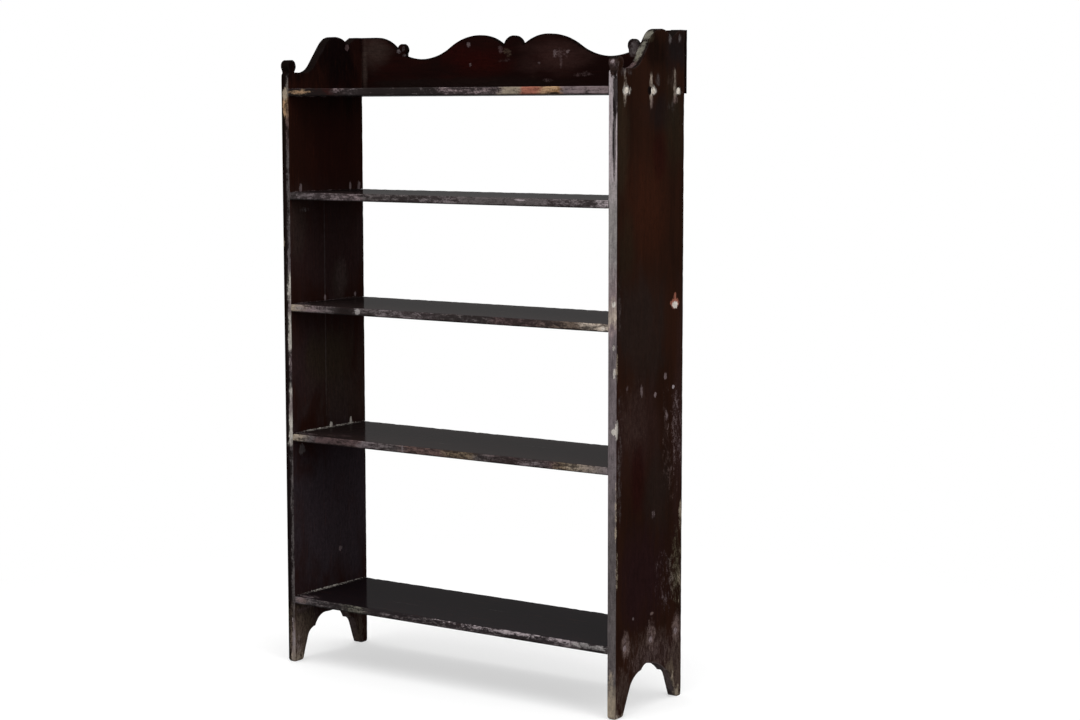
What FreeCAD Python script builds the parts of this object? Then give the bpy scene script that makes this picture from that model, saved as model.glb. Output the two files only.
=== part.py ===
import FreeCAD, Part
import math
import os
import Sketcher
from types import SimpleNamespace

# Five-shelf open bookcase in painted board: two sawn end panels, five shelves let into their
# dadoes, a scalloped crest board nailed across the back, and plugged screws in the top and
# bottom shelves. Millimetres. The origin is on the floor, midway between the end panels and
# midway through the whole depth; +X runs to the right panel, +Y to the back and +Z up.

X_AXIS = FreeCAD.Vector(1, 0, 0)
Y_AXIS = FreeCAD.Vector(0, 1, 0)
Z_AXIS = FreeCAD.Vector(0, 0, 1)

doc = FreeCAD.newDocument("Bookcase")
sheet = doc.addObject("Spreadsheet::Sheet", "sizes")

# Driving dimensions: name, value, what it is. Lengths are in mm; the one angle is in degrees.
driving_sizes = [
    # the whole
    ("overall_width", 914, "outside of one end panel to the outside of the other"),
    ("panel_depth", 264, "front edge to back edge of an end panel"),
    ("panel_thickness", 21, "end panel board"),
    ("shelf_thickness", 17, "shelf board"),
    # shelf spacing
    ("bottom_clearance", 140, "floor to the underside of the bottom shelf"),
    ("bay_height_lower", 366, "clear height above the bottom shelf"),
    ("bay_height_middle", 284, "clear height above the lower shelf"),
    ("bay_height_upper", 240, "clear height above the middle shelf"),
    ("bay_height_top", 218, "clear height above the upper shelf"),
    ("panel_rise", 121, "top shelf's upper face to the flat top corner of an end panel"),
    # joints
    ("dado_depth", 7, "how deep a shelf is let into an end panel"),
    ("dado_stop", 13, "front edge of a panel to the stopped end of its dado"),
    ("joint_clearance", 0.2, "play around a shelf end in its dado"),
    ("edge_round", 2, "eased long edges of the boards"),
    ("cut_overrun", 5, "how far every cut runs past the wood"),
    # top profile of an end panel, front to back
    ("left_knob_radius", 14, "round knob at the left panel's front corner"),
    ("left_knob_drop", 56, "left panel's top corner down to the top of its knob"),
    ("right_knob_radius", 12.5, "round knob at the right panel's front corner"),
    ("right_knob_drop", 60, "right panel's top corner down to the top of its knob"),
    ("neck_width", 22, "front edge to the back of the knob's neck"),
    ("neck_notch_depth", 5, "small notch under the knob in the front edge"),
    ("neck_notch_height", 14, "height of that notch"),
    ("dip_drop", 84, "panel's top corner down to the dip behind the knob"),
    ("rise_slope", 51.3, "steepest part of the rise, degrees"),
    ("rise_foot_radius", 47, "hollow at the foot of the rise"),
    ("rise_head_radius", 48, "round at the head of the rise"),
    ("notch_drop", 17, "depth of the notch"),
    # arch between the two feet of an end panel
    ("arch_height", 100, "floor to the crown of the arch"),
    ("toe_round", 7, "worn round on the edges of the feet"),
    # crest board, whose sawn top follows the shares below
    ("crest_thickness", 10, "crest board"),
    ("crest_lap", 14, "how far it laps down over the top shelf's back edge"),
    ("crest_shift", 6, "how far the sawn pattern sits right of the middle"),
    ("centre_lobe_drop", 2.5, "panel top down to the top of the centre lobe"),
    ("centre_notch_drop", 24, "panel top down to that notch"),
    ("crest_dip_drop", 52, "panel top down to the bottom of a dip"),
    ("crest_neck_rise", 7, "dip's bottom up to the neck of the knob"),
    ("crest_knob_radius", 14, "knob between a dip and a shoulder"),
    ("crest_knob_drop", 30, "panel top down to the centre of a knob"),
    # plugged screws, three to each end of the top and bottom shelves
    ("screw_front_margin", 36, "front edge to the first screw"),
    ("screw_back_margin", 24, "back edge to the last screw"),
    ("plug_diameter", 14, "wood plug"),
    ("plug_length", 4.5, "wood plug"),
    ("plug_clearance", 0.15, "play round a plug"),
    ("screw_head_diameter", 8.4, "head of a shelf screw"),
    ("screw_head_height", 3, "head of a shelf screw"),
    ("screw_diameter", 4.2, "shank of a shelf screw"),
    ("screw_length", 45, "shelf screw below its head"),
    ("screw_point", 6, "tapered point of a shelf screw"),
    ("fastener_clearance", 0.25, "play round a shank in its hole"),
    # nails of the crest board
    ("nail_head_diameter", 5, "head of a crest nail"),
    ("nail_head_height", 1.2, "head of a crest nail"),
    ("nail_diameter", 2.2, "shank of a crest nail"),
    ("nail_length", 34, "crest nail below its head"),
    ("nail_point", 4, "tapered point of a crest nail"),
    ("nail_edge_margin", 6, "crest board's lower edge to the nails in the shelf"),
    ("end_nail_low", 30, "top shelf up to the lowest nail in a panel"),
    ("end_nail_high", 15, "panel's top corner down to the highest nail"),
]

# Arch outline as shares of half the panel's depth and of the arch's height, from the foot to the
# crown: inside of the foot, top of the straight leg, round of the first lobe, cusp, round of the
# second lobe, crown. The boards were sawn by hand, so no two halves are quite alike.
front_left_arch_shares = [(0.79, 0), (0.65, 0.56), (0.58, 0.68), (0.45, 0.74), (0.36, 0.91), (0.1, 1)]
front_right_arch_shares = [(0.79, 0), (0.6, 0.53), (0.48, 0.75), (0.23, 0.89), (0.17, 0.96), (0.07, 1)]
back_left_arch_shares = [(0.81, 0), (0.66, 0.54), (0.61, 0.64), (0.49, 0.7), (0.42, 0.85), (0.1, 1)]
back_right_arch_shares = [(0.85, 0), (0.68, 0.54), (0.63, 0.62), (0.5, 0.68), (0.3, 0.87), (0.03, 0.97)]

# Setbacks from an end panel's front edge, as shares of its depth: top of the hump, point of the
# notch, and where the top turns flat.
setback_shares = [0.64, 0.807, 0.92]

# Places along the sawn top of the crest board, as shares of half the overall width from the
# middle outwards: notch beside the small centre lobe, top of a large hump, bottom of a dip,
# centre of a knob, and where the shoulder turns flat.
crest_reach_shares = [0.059, 0.208, 0.573, 0.7, 0.875]

# Nails from the crest board into the top shelf, as shares of half the clear width.
shelf_nail_shares = [-0.8, -0.4, 0, 0.4, 0.8]

# A knob's circle is left at four fifths and three fifths of its radius, where it meets its neck.
knob_side_share = 0.8
knob_foot_share = 0.6

# A fastener's point ends at this share of its shank.
tip_share = 0.25


class Size:
    """A length worked out from the sheet: its value now, and the expression that gives it."""

    def __init__(self, text, value):
        self.text = text
        self.value = value

    def __add__(self, other):
        return worked_out(self, "+", other, lambda a, b: a + b)

    def __radd__(self, other):
        return worked_out(other, "+", self, lambda a, b: a + b)

    def __sub__(self, other):
        return worked_out(self, "-", other, lambda a, b: a - b)

    def __rsub__(self, other):
        return worked_out(other, "-", self, lambda a, b: a - b)

    def __mul__(self, other):
        return worked_out(self, "*", other, lambda a, b: a * b)

    def __rmul__(self, other):
        return worked_out(other, "*", self, lambda a, b: a * b)

    def __truediv__(self, other):
        return worked_out(self, "/", other, lambda a, b: a / b)

    def __neg__(self):
        return Size(f"(-1 * {self.text})", -self.value)


def as_size(number):
    return number if isinstance(number, Size) else Size(repr(number), number)


def worked_out(left, sign, right, rule):
    left = as_size(left)
    right = as_size(right)
    return Size(f"({left.text} {sign} {right.text})", rule(left.value, right.value))


def sine(angle):
    return Size(f"sin({angle.text})", math.sin(math.radians(angle.value)))


def cosine(angle):
    return Size(f"cos({angle.text})", math.cos(math.radians(angle.value)))


size = SimpleNamespace()
for row, (name, value, meaning) in enumerate(driving_sizes, start=1):
    sheet.set(f"A{row}", meaning)
    sheet.set(f"B{row}", str(value))
    sheet.setAlias(f"B{row}", name)
doc.recompute()
for name, value, meaning in driving_sizes:
    setattr(size, name, Size(f"sizes.{name}", float(sheet.get(name))))

same_place = 0.01  # mm between two places that count as one


def bind(thing, path, length):
    """Bind one property of an object to the sheet."""
    thing.setExpression(path, as_size(length).text)


def place(thing, across, back, up):
    """Bind an object's position to the sheet."""
    bind(thing, "Placement.Base.x", across)
    bind(thing, "Placement.Base.y", back)
    bind(thing, "Placement.Base.z", up)


# Sizes that several pieces share
half_width = size.overall_width / 2
half_depth = size.panel_depth / 2
board_shift = -size.crest_thickness / 2  # the crest board behind the panels moves their middle forward
inner_width = size.overall_width - 2 * size.panel_thickness
bore_depth = size.plug_length + size.screw_head_height
bore_radius = size.plug_diameter / 2 + size.plug_clearance
shank_hole_radius = size.screw_diameter / 2 + size.fastener_clearance
nail_hole_radius = size.nail_diameter / 2 + size.fastener_clearance
nail_recess_radius = size.nail_head_diameter / 2 + size.fastener_clearance
crest_bottom_gap = size.shelf_thickness - size.crest_lap

# Height of each shelf's underside above the floor
bottom_shelf_base = size.bottom_clearance
lower_shelf_base = bottom_shelf_base + size.shelf_thickness + size.bay_height_lower
middle_shelf_base = lower_shelf_base + size.shelf_thickness + size.bay_height_middle
upper_shelf_base = middle_shelf_base + size.shelf_thickness + size.bay_height_upper
top_shelf_base = upper_shelf_base + size.shelf_thickness + size.bay_height_top
panel_height = top_shelf_base + size.shelf_thickness + size.panel_rise
shelf_bases = [bottom_shelf_base, lower_shelf_base, middle_shelf_base, upper_shelf_base, top_shelf_base]
screwed_bases = [bottom_shelf_base, top_shelf_base]
crest_base = top_shelf_base + crest_bottom_gap

# Places of the screws through a panel, front to back, and of the crest's nails
first_screw_back = size.screw_front_margin - half_depth
last_screw_back = half_depth - size.screw_back_margin
screw_backs = [first_screw_back, (first_screw_back + last_screw_back) / 2, last_screw_back]
lowest_end_nail = top_shelf_base + size.shelf_thickness + size.end_nail_low
highest_end_nail = panel_height - size.end_nail_high
end_nail_heights = [lowest_end_nail, (lowest_end_nail + highest_end_nail) / 2, highest_end_nail]
shelf_nail_height = crest_base + size.nail_edge_margin
shelf_nail_places = [inner_width / 2 * share for share in shelf_nail_shares]
panel_middle = half_width - size.panel_thickness / 2
crest_nail_places = [(across, shelf_nail_height) for across in shelf_nail_places]
crest_nail_places += [(panel_middle * side, up) for side in (-1, 1) for up in end_nail_heights]


class Outline:
    """A closed outline in a sketch, drawn corner by corner and bound to the sheet."""

    def __init__(self, sketch, across, up):
        self.sketch = sketch
        self.first_corner = (across, up)
        self.corner = (across, up)
        self.joints = []

    def vector(self, corner):
        return FreeCAD.Vector(as_size(corner[0]).value, as_size(corner[1]).value, 0)

    def add(self, geometry, end):
        """Add a stretch that ends at a corner, and fix that corner's two distances."""
        index = self.sketch.addGeometry(geometry, False)
        end_vector = self.vector(end)
        ends_first = self.sketch.getPoint(index, 1).distanceToPoint(end_vector)
        ends_last = self.sketch.getPoint(index, 2).distanceToPoint(end_vector)
        start_mark, end_mark = (2, 1) if ends_first < ends_last else (1, 2)
        if self.joints:
            last_index, last_mark = self.joints[-1][1]
            self.sketch.addConstraint(
                Sketcher.Constraint("Coincident", last_index, last_mark, index, start_mark))
        self.joints.append(((index, start_mark), (index, end_mark)))
        self.fix_point(index, end_mark, end)
        self.corner = end
        return index

    def fix_point(self, index, mark, corner):
        for kind, length in (("DistanceX", corner[0]), ("DistanceY", corner[1])):
            length = as_size(length)
            constraint = self.sketch.addConstraint(
                Sketcher.Constraint(kind, -1, 1, index, mark, length.value))
            self.sketch.setExpression(f"Constraints[{constraint}]", length.text)

    def line_to(self, across, up):
        start = self.vector(self.corner)
        end = self.vector((across, up))
        return self.add(Part.LineSegment(start, end), (across, up))

    def arc_to(self, across, up, radius, turn):
        """A short arc of a given radius, anticlockwise where turn is 1 and clockwise where -1."""
        start = self.vector(self.corner)
        end = self.vector((across, up))
        chord = end - start
        reach = as_size(radius).value
        half_chord = chord.Length / 2
        rise = reach - math.sqrt(reach * reach - half_chord * half_chord)
        outward = FreeCAD.Vector(chord.y, -chord.x, 0)
        outward.normalize()
        middle = (start + end) / 2 + outward * (rise * turn)
        index = self.add(self.arc_piece(start, middle, end), (across, up))
        constraint = self.sketch.addConstraint(Sketcher.Constraint("Radius", index, reach))
        self.sketch.setExpression(f"Constraints[{constraint}]", as_size(radius).text)
        return index

    def arc_through(self, via, across, up):
        """An arc through a point on the way."""
        start = self.vector(self.corner)
        end = self.vector((across, up))
        index = self.add(self.arc_piece(start, self.vector(via), end), (across, up))
        point = self.sketch.addGeometry(Part.Point(self.vector(via)), True)
        self.fix_point(point, 1, via)
        self.sketch.addConstraint(Sketcher.Constraint("PointOnObject", point, 1, index))
        return index

    def arc_piece(self, start, middle, end):
        """The arc through three points, as an anticlockwise piece of its circle."""
        through = Part.Arc(start, middle, end).toShape().Curve
        circle = Part.Circle(through.Center, Z_AXIS, through.Radius)
        first = circle.parameter(start)
        last = circle.parameter(end)
        full_turn = 2 * math.pi
        if (circle.parameter(middle) - first) % full_turn > (last - first) % full_turn:
            first, last = last, first
        return Part.ArcOfCircle(circle, first, last)

    def close(self):
        """A straight stretch back to the first corner."""
        start = self.vector(self.corner)
        end = self.vector(self.first_corner)
        index = self.sketch.addGeometry(Part.LineSegment(start, end), False)
        last_index, last_mark = self.joints[-1][1]
        first_index, first_mark = self.joints[0][0]
        self.sketch.addConstraint(Sketcher.Constraint("Coincident", last_index, last_mark, index, 1))
        self.sketch.addConstraint(Sketcher.Constraint("Coincident", index, 2, first_index, first_mark))
        self.fix_point(index, 2, self.first_corner)


def new_body(name):
    body = doc.addObject("PartDesign::Body", name)
    body.Label = name
    return body


def new_sketch(body, plane, offset=0):
    """A sketch on one of the body's own origin planes, moved along its normal by an offset."""
    sketch = body.newObject("Sketcher::SketchObject", f"{body.Name}_sketch")
    support = [feature for feature in body.Origin.OriginFeatures if feature.Role == plane][0]
    sketch.AttachmentSupport = (support, [""])
    sketch.MapMode = "FlatFace"
    bind(sketch, "AttachmentOffset.Base.z", offset)
    return sketch


def pad(body, sketch, length, backwards=False):
    feature = body.newObject("PartDesign::Pad", f"{body.Name}_pad")
    feature.Profile = sketch
    feature.Reversed = backwards
    bind(feature, "Length", length)
    doc.recompute()
    return feature


def pocket(body, sketch, depth, backwards=False):
    """Cut a sketch into the body, and make sure that wood is removed."""
    volume_before = body.Shape.Volume
    feature = body.newObject("PartDesign::Pocket", f"{body.Name}_pocket")
    feature.Profile = sketch
    feature.Reversed = backwards
    bind(feature, "Length", depth)
    doc.recompute()
    if body.Shape.Volume >= volume_before:
        raise RuntimeError(f"{body.Label}: {feature.Name} removes nothing")
    return feature


def round_edges(body, radius, wanted):
    """Round the edges of the body that a test picks, and make sure that there are some."""
    base = body.Tip
    names = [f"Edge{number}" for number, edge in enumerate(base.Shape.Edges, start=1) if wanted(edge)]
    if not names:
        raise RuntimeError(f"{body.Label}: no edge to round")
    feature = body.newObject("PartDesign::Fillet", f"{body.Name}_round")
    feature.Base = (base, names)
    bind(feature, "Radius", radius)
    doc.recompute()
    return feature


def circles(sketch, radius, centres):
    """Equal circles in a sketch."""
    for across, up in centres:
        across = as_size(across)
        up = as_size(up)
        centre = FreeCAD.Vector(across.value, up.value, 0)
        index = sketch.addGeometry(Part.Circle(centre, Z_AXIS, radius.value), False)
        rules = (
            (Sketcher.Constraint("Radius", index, radius.value), radius),
            (Sketcher.Constraint("DistanceX", -1, 1, index, 3, across.value), across),
            (Sketcher.Constraint("DistanceY", -1, 1, index, 3, up.value), up),
        )
        for rule, length in rules:
            constraint = sketch.addConstraint(rule)
            sketch.setExpression(f"Constraints[{constraint}]", length.text)


def rectangle(sketch, left, bottom, right, top):
    outline = Outline(sketch, left, bottom)
    outline.line_to(right, bottom)
    outline.line_to(right, top)
    outline.line_to(left, top)
    outline.close()


def runs_along(edge, axis):
    """Whether an edge is straight and runs along an axis."""
    run = edge.Vertexes[-1].Point - edge.Vertexes[0].Point
    return edge.Curve.TypeId == "Part::GeomLine" and run.cross(axis).Length < same_place


def arch_corner(shares, side):
    """One point of the arch outline, on the front side where side is -1 and the back where 1."""
    back_share, up_share = shares
    return half_depth * (back_share * side), size.arch_height * up_share


def draw_panel_outline(sketch, front_arch_shares, back_arch_shares, knob_radius, knob_drop):
    """An end panel seen from the side: across is front to back, up is up."""
    top = panel_height
    front = -half_depth
    outline = Outline(sketch, front, 0)

    # The arch, from the front foot to the back one
    foot, leg, first_round, cusp, second_round, crown = [
        arch_corner(shares, -1) for shares in front_arch_shares]
    outline.line_to(*foot)
    outline.line_to(*leg)
    outline.arc_through(first_round, *cusp)
    outline.arc_through(second_round, *crown)
    foot, leg, first_round, cusp, second_round, crown = [
        arch_corner(shares, 1) for shares in back_arch_shares]
    outline.line_to(*crown)
    outline.arc_through(second_round, *cusp)
    outline.arc_through(first_round, *leg)
    outline.line_to(*foot)
    outline.line_to(half_depth, 0)

    # The back edge and the flat top, then the notch
    hump_back, notch_back, flat_back = [front + size.panel_depth * share for share in setback_shares]
    outline.line_to(half_depth, top)
    outline.line_to(flat_back, top)
    outline.line_to(notch_back, top - size.notch_drop)

    # The hump, and the rise down to the dip: two arcs with a straight slope between them
    outline.arc_to(hump_back, top, level_arc_radius(notch_back - hump_back, size.notch_drop), 1)
    slope_sine = sine(size.rise_slope)
    slope_cosine = cosine(size.rise_slope)
    head_back = hump_back - size.rise_head_radius * slope_sine
    head_up = top - size.rise_head_radius * (1 - slope_cosine)
    outline.arc_to(head_back, head_up, size.rise_head_radius, 1)
    dip = top - size.dip_drop
    foot_up = dip + size.rise_foot_radius * (1 - slope_cosine)
    foot_back = head_back - (head_up - foot_up) / slope_sine * slope_cosine
    outline.line_to(foot_back, foot_up)
    outline.arc_to(foot_back - size.rise_foot_radius * slope_sine, dip, size.rise_foot_radius, -1)

    # The dip, the knob's neck, the knob, and the notch below it
    knob_back = front + knob_radius
    knob_up = top - knob_drop - knob_radius
    neck_back = front + size.neck_width
    outline.line_to(neck_back, dip)
    outline.line_to(knob_back + knob_radius * knob_side_share,
                    knob_up - knob_radius * knob_foot_share)
    outline.arc_through((knob_back, knob_up + knob_radius),
                        knob_back - knob_radius * knob_side_share,
                        knob_up - knob_radius * knob_foot_share)
    notch_top = knob_up - knob_radius * knob_foot_share
    outline.line_to(front + size.neck_notch_depth, notch_top - size.neck_notch_height / 2)
    outline.line_to(front, notch_top - size.neck_notch_height)
    outline.close()


def level_arc_radius(run, drop):
    """Radius of an arc that starts level and falls by a drop over a run."""
    return (run * run + drop * drop) / (drop * 2)


def make_panel(name, side, front_arch_shares, back_arch_shares, knob_radius, knob_drop):
    """An end panel: side is -1 on the left and 1 on the right."""
    body = new_body(name)
    outline_sketch = new_sketch(body, "YZ_Plane")
    draw_panel_outline(outline_sketch, front_arch_shares, back_arch_shares, knob_radius, knob_drop)
    pad(body, outline_sketch, size.panel_thickness)

    def is_toe(edge):
        return runs_along(edge, X_AXIS) and edge.CenterOfMass.z < same_place

    def is_front(edge):
        return runs_along(edge, Z_AXIS) and edge.CenterOfMass.y < same_place - half_depth.value

    round_edges(body, size.edge_round, is_front)
    round_edges(body, size.toe_round, is_toe)

    # The left panel's inside is its right face, and the right panel's its left face
    inner_face = size.panel_thickness if side < 0 else 0
    outer_face = size.panel_thickness - inner_face

    # The dadoes stop short of the front edge and run out at the back
    dado_sketch = new_sketch(body, "YZ_Plane", inner_face)
    for base in shelf_bases:
        rectangle(dado_sketch, size.dado_stop - half_depth, base, half_depth + size.cut_overrun,
                  base + size.shelf_thickness + size.joint_clearance)
    pocket(body, dado_sketch, size.dado_depth, backwards=side > 0)

    # Three bored holes from outside at the top and bottom shelves
    centres = [(back, base + size.shelf_thickness / 2) for base in screwed_bases for back in screw_backs]
    bore_sketch = new_sketch(body, "YZ_Plane", outer_face)
    circles(bore_sketch, bore_radius, centres)
    pocket(body, bore_sketch, bore_depth, backwards=side < 0)
    hole_sketch = new_sketch(body, "YZ_Plane", outer_face)
    circles(hole_sketch, shank_hole_radius, centres)
    pocket(body, hole_sketch, size.panel_thickness, backwards=side < 0)

    # Nail holes in the back edge, above the top shelf
    nail_sketch = new_sketch(body, "XZ_Plane", -half_depth)
    circles(nail_sketch, nail_hole_radius, [(size.panel_thickness / 2, up) for up in end_nail_heights])
    nail_depth = size.nail_length - size.crest_thickness + size.nail_head_height
    pocket(body, nail_sketch, nail_depth + size.fastener_clearance, backwards=True)

    left_face = -half_width if side < 0 else half_width - size.panel_thickness
    place(body, left_face, board_shift, 0)
    return body


def make_shelf(name, base, screwed=False, nailed=False):
    """A shelf with a tongue at each end, notched at the front where the dadoes stop."""
    body = new_body(name)
    shoulder = inner_width / 2
    end = shoulder + size.dado_depth - size.joint_clearance
    stop = size.dado_stop - half_depth + size.joint_clearance
    outline = Outline(new_sketch(body, "XY_Plane"), -shoulder, -half_depth)
    outline.line_to(shoulder, -half_depth)
    outline.line_to(shoulder, stop)
    outline.line_to(end, stop)
    outline.line_to(end, half_depth)
    outline.line_to(-end, half_depth)
    outline.line_to(-end, stop)
    outline.line_to(-shoulder, stop)
    outline.close()
    pad(body, outline.sketch, size.shelf_thickness)

    def is_front(edge):
        return runs_along(edge, X_AXIS) and edge.CenterOfMass.y < same_place - half_depth.value

    round_edges(body, size.edge_round, is_front)

    if screwed:
        centres = [(back, size.shelf_thickness / 2) for back in screw_backs]
        reach = size.screw_length - (size.panel_thickness - bore_depth - size.dado_depth)
        for side in (-1, 1):
            hole_sketch = new_sketch(body, "YZ_Plane", end * side)
            circles(hole_sketch, shank_hole_radius, centres)
            pocket(body, hole_sketch, reach + size.fastener_clearance, backwards=side < 0)
    if nailed:
        nail_sketch = new_sketch(body, "XZ_Plane", -half_depth)
        circles(nail_sketch, nail_hole_radius,
                [(across, shelf_nail_height - base) for across in shelf_nail_places])
        reach = size.nail_length - size.crest_thickness + size.nail_head_height
        pocket(body, nail_sketch, reach + size.fastener_clearance, backwards=True)

    place(body, 0, board_shift, base)
    return body


def draw_crest_outline(sketch):
    """The crest board seen from the front, its sawn top drawn from right to left."""
    top = panel_height
    middle = size.crest_shift
    lobe_reach, hump_reach, dip_reach, knob_reach, shoulder_reach = [
        half_width * share for share in crest_reach_shares]
    lobe_foot = top - size.centre_notch_drop
    dip = top - size.crest_dip_drop
    slope_middle = (dip_reach + hump_reach) / 2
    slope_up = (dip + top) / 2
    slope_radius = level_arc_radius(dip_reach - hump_reach, size.crest_dip_drop) / 2
    hump_radius = level_arc_radius(hump_reach - lobe_reach, size.centre_notch_drop)

    # The knob stands on a short neck at the outer end of the dip
    knob_radius = size.crest_knob_radius
    knob_up = top - size.crest_knob_drop
    knob_foot = knob_up - knob_radius * knob_foot_share
    neck_reach = knob_reach - knob_radius * knob_side_share
    neck_foot = dip + size.crest_neck_rise
    neck_radius = level_arc_radius(neck_reach - dip_reach, size.crest_neck_rise)
    shoulder_run = shoulder_reach - knob_reach - knob_radius
    shoulder_radius = level_arc_radius(shoulder_run, size.crest_knob_drop)

    outline = Outline(sketch, -half_width, crest_base)
    outline.line_to(half_width, crest_base)
    outline.line_to(half_width, top)
    outline.line_to(middle + shoulder_reach, top)
    outline.arc_to(middle + knob_reach + knob_radius, knob_up, shoulder_radius, 1)
    outline.arc_through((middle + knob_reach, knob_up + knob_radius), middle + neck_reach, knob_foot)
    outline.line_to(middle + neck_reach, neck_foot)
    outline.arc_to(middle + dip_reach, dip, neck_radius, -1)
    outline.arc_to(middle + slope_middle, slope_up, slope_radius, -1)
    outline.arc_to(middle + hump_reach, top, slope_radius, 1)
    outline.arc_to(middle + lobe_reach, lobe_foot, hump_radius, 1)
    outline.arc_through((middle, top - size.centre_lobe_drop), middle - lobe_reach, lobe_foot)
    outline.arc_to(middle - hump_reach, top, hump_radius, 1)
    outline.arc_to(middle - slope_middle, slope_up, slope_radius, 1)
    outline.arc_to(middle - dip_reach, dip, slope_radius, -1)
    outline.arc_to(middle - neck_reach, neck_foot, neck_radius, -1)
    outline.line_to(middle - neck_reach, knob_foot)
    outline.arc_through((middle - knob_reach, knob_up + knob_radius),
                        middle - knob_reach - knob_radius, knob_up)
    outline.arc_to(middle - shoulder_reach, top, shoulder_radius, 1)
    outline.line_to(-half_width, top)
    outline.close()


def make_crest():
    """The crest board, against the back edges of the end panels and of the top shelf."""
    body = new_body("crest_board")
    outline_sketch = new_sketch(body, "XZ_Plane")
    draw_crest_outline(outline_sketch)
    pad(body, outline_sketch, size.crest_thickness, backwards=True)

    # Nail holes with a shallow recess for each head, from the back
    recess_sketch = new_sketch(body, "XZ_Plane", -size.crest_thickness)
    circles(recess_sketch, nail_recess_radius, crest_nail_places)
    pocket(body, recess_sketch, size.nail_head_height, backwards=True)
    hole_sketch = new_sketch(body, "XZ_Plane", -size.crest_thickness)
    circles(hole_sketch, nail_hole_radius, crest_nail_places)
    pocket(body, hole_sketch, size.crest_thickness, backwards=True)
    place(body, 0, half_depth + board_shift, 0)
    return body


def rod(name, radius, length, start):
    """An upright rod from a height upwards."""
    thing = doc.addObject("Part::Cylinder", name)
    bind(thing, "Radius", radius)
    bind(thing, "Height", length)
    bind(thing, "Placement.Base.z", start)
    return thing


def point(name, radius, length, start):
    """A taper from a rod's radius to its blunt tip."""
    thing = doc.addObject("Part::Cone", name)
    bind(thing, "Radius1", radius)
    bind(thing, "Radius2", radius * tip_share)
    bind(thing, "Height", length)
    bind(thing, "Placement.Base.z", start)
    return thing


def make_fastener(name, head_diameter, head_height, diameter, length, point_length):
    """A headed screw or nail: its head's outer face is at its origin and it points along its Z."""
    shank_length = length - point_length
    pieces = [
        rod(f"{name}_head", head_diameter / 2, head_height, 0),
        rod(f"{name}_shank", diameter / 2, shank_length, head_height),
        point(f"{name}_point", diameter / 2, point_length, head_height + shank_length),
    ]
    fastener = doc.addObject("Part::MultiFuse", name)
    fastener.Shapes = pieces
    return fastener


def make_shelf_screw(name):
    return make_fastener(name, size.screw_head_diameter, size.screw_head_height,
                         size.screw_diameter, size.screw_length, size.screw_point)


def make_crest_nail(name):
    return make_fastener(name, size.nail_head_diameter, size.nail_head_height,
                         size.nail_diameter, size.nail_length, size.nail_point)


def make_plug(name):
    return rod(name, size.plug_diameter / 2, size.plug_length, 0)


def group(name, things):
    """Equal pieces that share one node."""
    compound = doc.addObject("Part::Compound", name)
    compound.Label = name
    compound.Links = things
    return compound


def inward(side):
    """The turn that points a fastener from a panel's outside to its inside."""
    return FreeCAD.Rotation(Z_AXIS, X_AXIS * -side)


def make_screws_and_plugs():
    """Three plugged screws at each end of the top and bottom shelves."""
    plugs = []
    screws = []
    for side in (-1, 1):
        for base in screwed_bases:
            for back in screw_backs:
                up = base + size.shelf_thickness / 2
                number = len(plugs)
                plug = make_plug(f"plug_{number}")
                plug.Placement.Rotation = inward(side)
                place(plug, half_width * side, back + board_shift, up)
                plugs.append(plug)
                screw = make_shelf_screw(f"screw_{number}")
                screw.Placement.Rotation = inward(side)
                place(screw, (half_width - size.plug_length) * side, back + board_shift, up)
                screws.append(screw)
    return group("screw_plugs", plugs), group("shelf_screws", screws)


def make_crest_nails():
    """Nails through the crest board into the top shelf and the end panels."""
    nails = []
    for across, up in crest_nail_places:
        nail = make_crest_nail(f"nail_{len(nails)}")
        nail.Placement.Rotation = FreeCAD.Rotation(Z_AXIS, -Y_AXIS)
        place(nail, across, half_depth + size.crest_thickness + board_shift, up)
        nails.append(nail)
    return group("crest_nails", nails)


pieces = [
    make_panel("left_end_panel", -1, front_left_arch_shares, back_left_arch_shares,
               size.left_knob_radius, size.left_knob_drop),
    make_panel("right_end_panel", 1, front_right_arch_shares, back_right_arch_shares,
               size.right_knob_radius, size.right_knob_drop),
    make_shelf("bottom_shelf", bottom_shelf_base, screwed=True),
    make_shelf("lower_shelf", lower_shelf_base),
    make_shelf("middle_shelf", middle_shelf_base),
    make_shelf("upper_shelf", upper_shelf_base),
    make_shelf("top_shelf", top_shelf_base, screwed=True, nailed=True),
    make_crest(),
    *make_screws_and_plugs(),
    make_crest_nails(),
]
doc.recompute()

for thing in doc.Objects:
    if "Invalid" in thing.State or "Error" in thing.State:
        raise RuntimeError(f"{thing.Name} failed: {thing.State}")
for piece in pieces:
    if piece.Shape.isNull() or not piece.Shape.isValid():
        raise RuntimeError(f"{piece.Label} has no valid shape")

os.makedirs("parts", exist_ok=True)
for piece in pieces:
    piece.Shape.exportStep(os.path.join("parts", f"{piece.Label}.step"))
    print(f"{piece.Label}: {len(piece.Shape.Solids)} solid(s), {piece.Shape.Volume / 1000:.1f} cm3")
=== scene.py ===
import math

import bmesh
import bpy
import numpy as np
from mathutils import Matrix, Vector, kdtree, noise


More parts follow.
